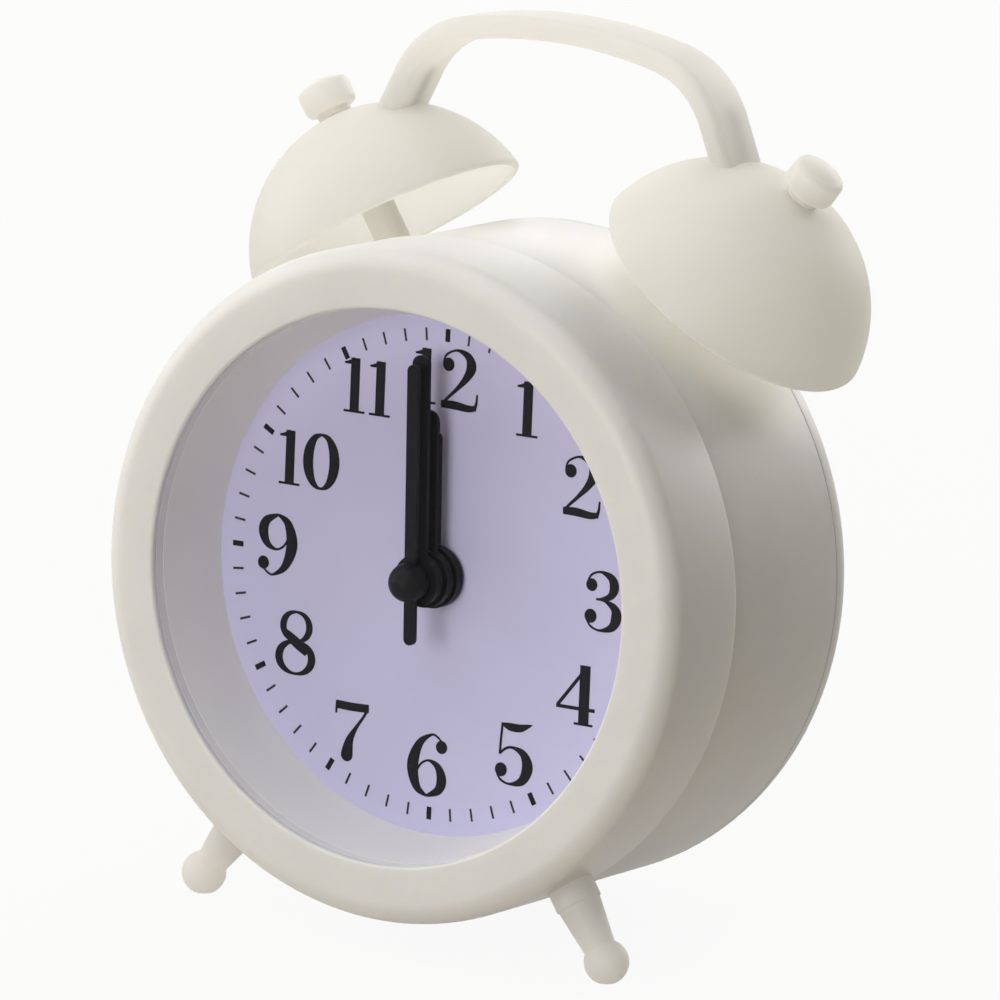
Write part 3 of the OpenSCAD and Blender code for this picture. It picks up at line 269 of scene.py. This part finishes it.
# Materials

def noise(tree, scale):
    """A noise texture in the piece's own space."""
    where = tree.nodes.new("ShaderNodeTexCoord")
    tex = tree.nodes.new("ShaderNodeTexNoise")
    tex.inputs["Scale"].default_value = scale
    tex.inputs["Detail"].default_value = noise_detail
    tree.links.new(where.outputs["Object"], tex.inputs["Vector"])
    return tex.outputs["Fac"]


def between(tree, fac, low, high, socket):
    """Links a socket to a value that runs from low to high with a texture."""
    node = tree.nodes.new("ShaderNodeMapRange")
    node.inputs["To Min"].default_value = low
    node.inputs["To Max"].default_value = high
    tree.links.new(fac, node.inputs["Value"])
    tree.links.new(node.outputs["Result"], socket)


def tint(tree, fac, low, high, socket):
    """Links a colour socket to a mix of two near colours by a texture."""
    ramp = tree.nodes.new("ShaderNodeValToRGB")
    for stop, position, colour in zip(ramp.color_ramp.elements, drift_span, (low, high)):
        stop.position = position
        stop.color = (*colour, 1)
    tree.links.new(fac, ramp.inputs["Fac"])
    tree.links.new(ramp.outputs["Color"], socket)


def finish(name, colour, rough, metal=0.0, vary=0.03, bump=0.03, **sockets):
    """A surface whose colour and roughness drift a little, with a fine grain."""
    mat = bpy.data.materials.new(name)
    mat.use_nodes = True
    tree = mat.node_tree
    shader = tree.nodes["Principled BSDF"]
    shader.inputs["Metallic"].default_value = metal
    for socket, value in sockets.items():
        shader.inputs[socket.replace("_", " ")].default_value = value
    drift = noise(tree, drift_scale)
    low = [c * (1 - vary) for c in colour]
    high = [min(1.0, c * (1 + vary)) for c in colour]
    tint(tree, drift, low, high, shader.inputs["Base Color"])
    between(tree, drift, rough * (1 - rough_drift), rough * (1 + rough_drift), shader.inputs["Roughness"])
    relief = tree.nodes.new("ShaderNodeBump")
    relief.inputs["Strength"].default_value = bump
    relief.inputs["Distance"].default_value = grain_depth * MM
    tree.links.new(noise(tree, grain_scale), relief.inputs["Height"])
    tree.links.new(relief.outputs["Normal"], shader.inputs["Normal"])
    return mat


def let_through(mat, colour, share):
    """Makes a finish pass a share of the light, as a thin wall does."""
    tree = mat.node_tree
    through = tree.nodes.new("ShaderNodeBsdfTranslucent")
    through.inputs["Color"].default_value = (*colour, 1)
    mix = tree.nodes.new("ShaderNodeMixShader")
    mix.inputs["Fac"].default_value = share
    tree.links.new(tree.nodes["Principled BSDF"].outputs["BSDF"], mix.inputs[1])
    tree.links.new(through.outputs["BSDF"], mix.inputs[2])
    tree.links.new(mix.outputs["Shader"], tree.nodes["Material Output"].inputs["Surface"])


finishes = {
    "ivory_plastic": finish("ivory_plastic", (0.80, 0.79, 0.75), 0.45, Subsurface_Weight=0.6,
                            Subsurface_Scale=1.5 * MM, Subsurface_Radius=(1.0, 0.85, 0.45)),
    "clear_lens": finish("clear_lens", (0.85, 0.87, 0.9), 0.05, bump=0.0, Alpha=0.004),
    "ring_plastic": finish("ring_plastic", (0.86, 0.85, 0.82), 0.5),
    "dial_card": finish("dial_card", (0.59, 0.57, 0.80), 0.6, vary=0.015),
    "black_hands": finish("black_hands", (0.006, 0.006, 0.007), 0.38, Specular_IOR_Level=0.1),
    "plated_steel": finish("plated_steel", (0.62, 0.62, 0.63), 0.28, metal=1.0),
    "movement_plastic": finish("movement_plastic", (0.55, 0.55, 0.56), 0.5),
    "wheel_plastic": finish("wheel_plastic", (0.80, 0.80, 0.78), 0.45),
    "board": finish("board", (0.05, 0.22, 0.10), 0.45, vary=0.1),
    "black_plastic": finish("black_plastic", (0.015, 0.015, 0.016), 0.5),
    "iron": finish("iron", (0.36, 0.36, 0.37), 0.42, metal=1.0),
    "copper": finish("copper", (0.72, 0.33, 0.18), 0.32, metal=1.0),
    "magnet": finish("magnet", (0.14, 0.14, 0.15), 0.4, metal=0.6),
    "battery_can": finish("battery_can", (0.20, 0.24, 0.33), 0.35, metal=0.5),
    "switch_plastic": finish("switch_plastic", (0.30, 0.30, 0.31), 0.5),
    "wire": finish("wire", (0.45, 0.05, 0.04), 0.5),
}
ivory = finishes["ivory_plastic"]

# The bells' thin walls pass more light than the handle, knobs and feet.
thin_ivory = finish("thin_ivory", (0.82, 0.805, 0.79), 0.45)
let_through(thin_ivory, colour=(0.93, 0.92, 0.87), share=0.58)
small_ivory = finish("small_ivory", (0.81, 0.79, 0.765), 0.45)
let_through(small_ivory, colour=(0.93, 0.91, 0.86), share=0.5)

ink = finish("dial_ink", (0.008, 0.008, 0.010), 0.55, Specular_IOR_Level=0.1)
grey_ink = finish("tick_ink", (0.035, 0.034, 0.042), 0.55, Specular_IOR_Level=0.1)


def dress_nodes():
    """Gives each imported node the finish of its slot."""
    for part in frame["record"]["subparts"]:
        mesh = nodes[part["node"]].data
        mesh.materials.clear()
        mesh.materials.append(finishes[part["material_slot"]])


# Case

def bezel_profile():
    """Section of the bezel: round outer edge, lip over the lens, bore behind it."""
    bore = bezel_r - bezel_wall
    return [
        *arc(bezel_r - bezel_edge, bezel_edge, bezel_edge, -90, 0, 2 * ROUND),
        *arc(bezel_r - seam_edge, bezel_back - seam_edge, seam_edge, 0, 90, ROUND // 2),
        (bore, bezel_back),
        (bore, lens_back),
        (lens_r, lens_back),
        (lens_r, lip_t),
        (window_r, lip_t),
        *arc(window_r + lip_edge, lip_edge, lip_edge, 180, 270),
    ]


def drum_profile():
    """Section of the drum's wall, with its flange and the spigot inside the bezel."""
    inner = drum_r - drum_wall
    spigot = ring_flange_r
    return [
        *arc(drum_r - seam_edge, bezel_back + seam_edge, seam_edge, -90, 0, ROUND // 2),
        *arc(drum_r - seam_edge, drum_back - seam_edge, seam_edge, 0, 90, ROUND // 2),
        (inner, drum_back),
        (inner, bezel_back + drum_wall),
        (spigot - drum_wall, bezel_back + drum_wall),
        (spigot - drum_wall, bezel_back - drum_wall / 2),
        (spigot, bezel_back - drum_wall / 2),
        (spigot, bezel_back),
    ]


def ring_profile():
    """Section of the sloping ring between the lens and the dial."""
    front_r = window_r - ring_show
    return [
        (front_r, lens_back),
        (ring_flange_r, lens_back),
        (ring_flange_r, lens_back + ring_t),
        (front_r + ring_t, lens_back + ring_t),
        (dial_view_r + ring_t, dial_depth - ring_t),
        (dial_view_r + 2 * ring_t, dial_depth - ring_t),
        (dial_view_r + 2 * ring_t, dial_depth),
        (dial_view_r, dial_depth),
    ]


def make_lens():
    """A clear pane, with an opaque rim where the bezel holds it."""
    front = lip_t + lens_gap / 2
    rim_r = window_r - lens_gap
    pane_r = rim_r - ring_show
    pane = [(0, front), (pane_r, front), (pane_r, lens_back), (0, lens_back)]
    rim = [(rim_r, front), (lens_r, front), (lens_r, lens_back), (rim_r, lens_back)]
    piece("lens_pane", lathe(pane), drum_place, finishes["clear_lens"], "case", "clear_lens", "lens")
    piece("lens_rim", lathe(rim), drum_place, finishes["ring_plastic"], "case", "ring_plastic")


def make_case():
    """Bezel, drum and inner ring."""
    piece("bezel_turned", lathe(bezel_profile()), drum_place, ivory, "case", "ivory_plastic", "bezel")
    piece("drum_turned", lathe(drum_profile()), drum_place, ivory, "case", "ivory_plastic", "case_shell")
    piece("ring_turned", lathe(ring_profile()), drum_place, finishes["ring_plastic"], "case", "ring_plastic",
          "inner_ring")


# Bells, knobs and feet

def bell_profile(r, middle, rim):
    """Section of a dome of even wall with a rounded rim."""
    inner = r - bell_wall
    rim_mid = r - bell_wall / 2
    low = math.degrees(math.asin((rim + bell_wall / 2 - middle) / rim_mid))
    x, z = arc(0, middle, rim_mid, low, low, 1)[0]
    return [
        *arc(0, middle, r, low, math.degrees(math.acos(stud_r / r)), 6 * ROUND),
        *arc(0, middle, inner, math.degrees(math.acos(stud_r / inner)), low, 6 * ROUND),
        *arc(x, z, bell_wall / 2, low - 180, low, 2 * ROUND)[1:-1],
    ]


def knob_profile(r, base, top):
    """Section of a knob: a short neck, a round-edged head and a low dome."""
    head = base + knob_neck_h
    flat_r = r - knob_edge
    rim = top - knob_dome
    dome_r = (flat_r ** 2 + knob_dome ** 2) / (2 * knob_dome)
    half = math.degrees(math.asin(flat_r / dome_r))
    return [
        (stud_r, base),
        (knob_neck_r, base),
        (knob_neck_r, head),
        *arc(flat_r, head + knob_edge, knob_edge, -90, 0),
        *arc(flat_r, rim - knob_edge, knob_edge, 0, 90),
        *arc(0, top - dome_r, dome_r, 90 - half, 90)[1:-1],
        (0, top),
        (0, base),
    ]


def foot_profile(base):
    """Section of a foot: a collar, a tapering cone and a ball."""
    step = base + foot_collar_h
    join = math.degrees(math.acos(foot_neck_r / foot_ball_r))
    waist = foot_at - foot_ball_r * math.sin(math.radians(join)) - foot_edge
    return [
        (0, base - foot_sink),
        (foot_collar_r, base - foot_sink),
        *arc(foot_collar_r - foot_edge, step - foot_edge, foot_edge, 0, 90, ROUND // 2),
        (foot_cone_r, step),
        (foot_neck_r, waist),
        *arc(0, foot_at, foot_ball_r, -join, 90, 4 * ROUND)[:-1],
        (0, foot_at + foot_ball_r),
    ]


def bell_dome(side):
    """A bell's place, its dome's radius, and the dome's middle and rim along its axis, in mm."""
    place = spoke_place(SIDES[side] * bell_angle, bell_depth)
    _, rim_r, rim, top = reach(f"{side}_bell", place)
    rise = top - rim
    r = (rim_r ** 2 + rise ** 2) / (2 * rise)
    return place, r, top - r, rim


def make_bells():
    """A dome and a knob on each side."""
    for side in SIDES:
        place, r, middle, rim = bell_dome(side)
        piece(f"{side}_bell_turned", lathe(bell_profile(r, middle, rim)), place, thin_ivory, "case",
              "ivory_plastic", f"{side}_bell")
        _, knob_r, base, top = reach(f"{side}_bell_knob", place)
        piece(f"{side}_knob_turned", lathe(knob_profile(knob_r, base, top), turns=TURNS // 2), place,
              small_ivory, "case", "ivory_plastic", f"{side}_bell_knob")


def make_feet():
    """A turned foot on each side, flat where it stands."""
    for side, sign in SIDES.items():
        place = spoke_place(180 - sign * foot_angle, foot_depth)
        base = reach(f"{side}_foot", place)[2]
        bm = lathe(foot_profile(base), turns=TURNS // 2)
        for v in bm.verts:
            spot = place @ v.co
            spot.z = max(spot.z, 0)
            v.co = place.inverted() @ spot
        piece(f"{side}_foot_turned", bm, place, small_ivory, "case", "ivory_plastic", f"{side}_foot")


# Handle

def strap_ring(x, z, angle):
    """Rounded outline of the strap about x, z, its thickness along an angle in degrees."""
    out = Vector((math.cos(math.radians(angle)), 0, math.sin(math.radians(angle))))
    outline = []
    for start, sx, sy in ((0, 1, 1), (90, -1, 1), (180, -1, -1), (270, 1, -1)):
        outline += arc(sx * (strap_t / 2 - strap_edge), sy * (strap_w / 2 - strap_edge), strap_edge,
                       start, start + 90, ROUND // 2)
    return [Vector((x, bell_depth, z)) + a * out + Vector((0, b, 0)) for a, b in outline]


def to_dome(ring, side):
    """A ring at the end of a leg, carried along the leg to the surface of its bell."""
    place, r, middle, _ = bell_dome(side)
    centre = clock.inverted() @ place @ Vector((0, 0, middle * MM)) / MM
    splay = math.radians(handle_splay)
    way = Vector((SIDES[side] * math.sin(splay), 0, -math.cos(splay)))
    carried = []
    for p in ring:
        gap = centre - p
        along = gap.dot(way)
        carried.append(p + (along - math.sqrt(along ** 2 - gap.length_squared + r ** 2)) * way)
    return carried


def bend(x, z, r, start, end):
    """Points of a bend in the strap's middle line, each with its angle in degrees."""
    angles = [start + (end - start) * i / BEND_STEPS for i in range(BEND_STEPS + 1)]
    return [(*spot, a) for spot, a in zip(arc(x, z, r, start, end, BEND_STEPS), angles)]


def make_handle():
    """A strap over the top that bends down to a leg on each bell."""
    top = max((clock.inverted() @ v.co).z for v in nodes["handle"].data.vertices) / MM
    bow_z = top - strap_t / 2 - bow_r
    bow_a = math.degrees(math.asin(bow_half / bow_r))
    corner_x = bow_half * (1 - corner_r / bow_r)
    corner_z = bow_z + (bow_r - corner_r) * math.cos(math.radians(bow_a))
    corner = bend(corner_x, corner_z, corner_r, handle_splay, 90 - bow_a)
    bow = bend(0, bow_z, bow_r, 90 - bow_a, 90 + bow_a)[1:-1]
    other = [(-x, z, 180 - a) for x, z, a in reversed(corner)]
    rings = [strap_ring(*p) for p in (*corner, *bow, *other)]
    rings = [to_dome(rings[0], "right"), *rings, to_dome(rings[-1], "left")]
    piece("handle_swept", sweep(rings), clock, small_ivory, "case", "ivory_plastic", "handle")


# Print on the dial

def make_ticks():
    """A tick for each minute round the dial, the hour ones bolder."""
    bold, fine = bmesh.new(), bmesh.new()
    for i in range(MINUTES):
        hour = i % (MINUTES // HOURS) == 0
        w = (hour_tick_w if hour else minute_tick_w) / 2
        turn = Matrix.Rotation(math.radians(-360 * i / MINUTES), 4, "Z")
        corners = [(-w, -tick_len / 2), (w, -tick_len / 2), (w, tick_len / 2), (-w, tick_len / 2)]
        rings = [[turn @ Vector((x, tick_r + y, z)) for x, y in corners] for z in (0, ink_t)]
        sweep(rings, bold if hour else fine)
    piece("hour_ticks", bold, print_place, ink, "case", "dial_card")
    piece("minute_ticks", fine, print_place, grey_ink, "case", "dial_card")


def oval(x, z, rx, rz, side, cap):
    """Pen stroke round an oval, thick at its sides and thin at its ends."""
    angles = [math.radians(90 + 360 * i / OVAL_STEPS) for i in range(OVAL_STEPS + 1)]
    widths = [math.hypot(side * math.cos(a), cap * math.sin(a)) for a in angles]
    return [(x + rx * math.cos(a), z + rz * math.sin(a), w) for a, w in zip(angles, widths)]


# Figures, FIGURE_H high: width, pen strokes as x, height and pen width, round ends as x, height and radius.
FIGURE_H = 100
figures = {
    "0": (74, [oval(37, 50, 27, 47.7, 20, 4.5)], []),
    "1": (46, [
        [(24, 98, 18), (24, 2, 18)],
        [(3, 2, 4), (45, 2, 4)],
        [(24, 95, 9), (14, 90, 7), (2, 88, 3)],
    ], []),
    "2": (76, [
        [(7, 76, 3), (13, 89, 4), (33, 97.7, 4.5), (54, 90, 13), (61, 73, 19),
         (52, 54, 13), (34, 34, 7), (16, 17, 5), (6, 6, 4)],
        [(5, 7, 12), (30, 7.5, 14), (55, 5, 12), (68, 6, 10)],
        [(68, 3, 9), (73, 15, 5), (74, 30, 3.5)],
    ], [(17, 73, 11)]),
    "3": (76, [
        [(9, 80, 3), (17, 92, 4), (34, 97.7, 4.5), (54, 90, 14), (60, 75, 18),
         (53, 60, 12), (34, 53, 4.5), (26, 53, 4)],
        [(30, 53, 4), (45, 51, 6), (62, 41, 15), (66, 27, 20), (58, 10, 14),
         (36, 2.3, 4.5), (18, 7, 4), (8, 20, 3)],
    ], [(17, 75, 10.5), (17, 24, 11.5)]),
    "4": (76, [
        [(54, 99, 20), (54, 2, 20)],
        [(36, 2, 4), (72, 2, 4)],
        [(1, 27, 6), (75, 27, 6)],
        [(58, 98, 6), (30, 62, 6), (3, 28, 6)],
    ], []),
    "5": (75, [
        [(17, 95, 5), (30, 92, 13), (48, 92, 13), (62, 97, 7), (70, 100, 1)],
        [(17, 97, 4.5), (15, 70, 4.5), (14, 47, 4.5)],
        [(14, 48, 4), (24, 57, 4.5), (37, 60, 5), (56, 52, 14), (64, 32, 21),
         (55, 10, 15), (34, 2.3, 4.5), (17, 7, 4), (8, 20, 3)],
    ], [(17, 23, 11.5)]),
    "6": (74, [
        [(63, 88, 3), (54, 96, 4), (43, 97.7, 4.5), (23, 82, 14), (12, 48, 22),
         (20, 15, 15), (38, 2.3, 4.5)],
        [(38, 2.3, 4.5), (58, 13, 15), (64, 30, 19), (57, 49, 13), (41, 57.5, 4.5),
         (28, 52, 4), (21, 42, 4)],
    ], [(62, 81, 11)]),
    "7": (74, [
        [(6, 93, 14), (36, 92, 14), (70, 93, 14)],
        [(7, 99, 5), (6, 78, 4)],
        [(68, 93, 6), (60, 78, 5), (46, 58, 7), (35, 38, 14), (31, 20, 21), (30, 10, 22)],
    ], [(30, 11.5, 11.5)]),
    "8": (76, [
        oval(38, 27, 27, 24.8, 15, 4.5),
        oval(38, 75, 21.5, 22.8, 13, 4.5),
        [(19, 66, 10), (38, 51, 18), (57, 36, 12)],
    ], []),
}


def half_turn(figure):
    """A figure turned upside down."""
    width, lines, dots = figure
    lines = [[(width - x, FIGURE_H - z, w) for x, z, w in line] for line in lines]
    dots = [(width - x, FIGURE_H - z, r) for x, z, r in dots]
    return width, lines, dots


def stretch(figure, wide, tall):
    """A figure made wider and taller about the middle of its height."""
    width, lines, dots = figure
    middle = FIGURE_H / 2
    lines = [[(x * wide, middle + (z - middle) * tall, w) for x, z, w in line] for line in lines]
    dots = [(x * wide, middle + (z - middle) * tall, r) for x, z, r in dots]
    return width * wide, lines, dots


# How much wider and taller than the rest some figures are printed.
figure_stretch = {
    "0": (0.96, 0.94),
    "1": (0.98, 0.92),
    "5": (1.08, 1.05),
    "6": (1.10, 1.07),
    "8": (1.20, 1.08),
    "9": (1.10, 1.05),
}
figures["9"] = half_turn(figures["6"])
for digit, (wide, tall) in figure_stretch.items():
    figures[digit] = stretch(figures[digit], wide, tall)


def smooth(points):
    """Points on a smooth curve through the given ones."""
    ends = [points[0], *points, points[-1]]
    curve = []
    for p0, p1, p2, p3 in zip(ends, ends[1:], ends[2:], ends[3:]):
        p0, p1, p2, p3 = map(Vector, (p0, p1, p2, p3))
        for i in range(STROKE_STEPS):
            t = i / STROKE_STEPS
            curve.append(0.5 * (2 * p1 + (p2 - p0) * t + (2 * p0 - 5 * p1 + 4 * p2 - p3) * t ** 2
                                + (3 * p1 - p0 - 3 * p2 + p3) * t ** 3))
    return [*curve, Vector(points[-1])]


def ink_line(bm, points, at, scale, t):
    """A pen stroke of changing width, printed as a thin layer."""
    curve = smooth(points)
    rings = []
    for before, here, after in zip([curve[0], *curve], curve, [*curve[1:], curve[-1]]):
        along = Vector((after.x - before.x, after.y - before.y)).normalized()
        across = Vector((-along.y, along.x)) * here.z / 2
        left, right = here.xy + across, here.xy - across
        rings.append([(at[0] + q.x * scale, at[1] + q.y * scale, z) for q, z in
                      ((left, 0), (right, 0), (right, t), (left, t))])
    sweep(rings, bm)


def ink_dot(bm, x, z, r, at, scale, t):
    """A round end of a pen stroke."""
    circle = arc(at[0] + x * scale, at[1] + z * scale, r * scale, 0, 360, DOT_STEPS)[:-1]
    sweep([[(*q, 0) for q in circle], [(*q, t) for q in circle]], bm)


def print_figure(bm, figure, at, scale):
    """One figure, each stroke a little thicker than the one before, so that no two tops lie level."""
    _, lines, dots = figure
    for i, line in enumerate(lines):
        ink_line(bm, line, at, scale, ink_t + ink_step * i)
    for dot in dots:
        ink_dot(bm, *dot, at, scale, dot_t)


def make_numerals():
    """The hours, upright round the dial."""
    bm = bmesh.new()
    scale = numeral_h / FIGURE_H
    for hour in range(1, HOURS + 1):
        digits = [figures[digit] for digit in str(hour)]
        widths = [width * scale for width, _, _ in digits]
        turn = math.radians(360 * hour / HOURS)
        shift_x, shift_z = numeral_shift.get(hour, (0.0, 0.0))
        half_w = (sum(widths) + numeral_gap * (len(widths) - 1)) / 2
        x = numeral_r * math.sin(turn) - half_w + shift_x
        z = numeral_r * math.cos(turn) - numeral_h / 2 + shift_z
        for figure, width in zip(digits, widths):
            print_figure(bm, figure, (x, z), scale)
            x += width + numeral_gap
    piece("numerals", bm, print_place, ink, "case", "dial_card")


# Stage, light and camera

def combine(tree, operation, first, second):
    """The result of an operation on a socket and another socket or a number."""
    node = tree.nodes.new("ShaderNodeMath")
    node.operation = operation
    tree.links.new(first, node.inputs[0])
    if isinstance(second, float):
        node.inputs[1].default_value = second
    else:
        tree.links.new(second, node.inputs[1])
    return node.outputs["Value"]


def white_for_view(tree, lit, white_kind, amount):
    """Shows white by an amount to the camera, mirrors and clear pieces, and the lit shader to other rays."""
    rays = tree.nodes.new("ShaderNodeLightPath").outputs
    seen = combine(tree, "MAXIMUM", rays["Is Camera Ray"], rays["Is Glossy Ray"])
    seen = combine(tree, "MAXIMUM", seen, rays["Is Transmission Ray"])
    white = tree.nodes.new(white_kind)
    white.inputs["Color"].default_value = (1, 1, 1, 1)
    mix = tree.nodes.new("ShaderNodeMixShader")
    tree.links.new(combine(tree, "MULTIPLY", seen, amount), mix.inputs["Fac"])
    tree.links.new(lit.outputs[0], mix.inputs[1])
    tree.links.new(white.outputs[0], mix.inputs[2])
    return mix.outputs["Shader"]


def make_floor():
    """A pale floor that keeps a faint shadow."""
    mesh = bpy.data.meshes.new("floor")
    corners = [(x * floor_half, y * floor_half, 0) for x, y in ((-1, -1), (1, -1), (1, 1), (-1, 1))]
    mesh.from_pydata(corners, [], [(0, 1, 2, 3)])
    mat = finish("floor", floor_colour, floor_rough, vary=floor_vary, bump=0.0)
    tree = mat.node_tree
    seen = white_for_view(tree, tree.nodes["Principled BSDF"], "ShaderNodeEmission", floor_white)
    tree.links.new(seen, tree.nodes["Material Output"].inputs["Surface"])
    mesh.materials.append(mat)
    floor = bpy.data.objects.new("floor", mesh)
    bpy.context.scene.collection.objects.link(floor)


def make_room():
    """A dim room, white where the camera looks past the clock."""
    world = bpy.data.worlds.new("room")
    bpy.context.scene.world = world
    world.use_nodes = True
    tree = world.node_tree
    room = tree.nodes["Background"]
    room.inputs["Color"].default_value = (*room_colour, 1)
    seen = white_for_view(tree, room, "ShaderNodeBackground", 1.0)
    tree.links.new(seen, tree.nodes["World Output"].inputs["Surface"])


def make_lights():
    """Soft round lamps about the clock."""
    for name, (way, distance, size, strength) in lights.items():
        lamp = bpy.data.lights.new(name, "AREA")
        lamp.shape = "DISK"
        lamp.size = size
        lamp.energy = strength * (math.pi * distance) ** 2
        obj = bpy.data.objects.new(name, lamp)
        bpy.context.scene.collection.objects.link(obj)
        way = Vector(way).normalized()
        obj.location = clock.translation + distance * way
        obj.rotation_euler = way.to_track_quat("Z", "Y").to_euler()


def make_camera():
    """The photo's view."""
    data = bpy.data.cameras.new("camera")
    data.lens = camera_lens
    data.clip_start = camera_clip
    camera = bpy.data.objects.new("camera", data)
    bpy.context.scene.collection.objects.link(camera)
    at, look = (clock @ (Vector(v) * MM) for v in (camera_at, camera_look))
    camera.location = at
    camera.rotation_euler = (at - look).to_track_quat("Z", "Y").to_euler()
    bpy.context.scene.camera = camera


dress_nodes()
make_case()
make_lens()
make_bells()
make_feet()
make_handle()
make_ticks()
make_numerals()
make_floor()
make_room()
make_lights()
make_camera()
bpy.context.scene.view_settings.view_transform = "Standard"
bpy.context.view_layer.update()
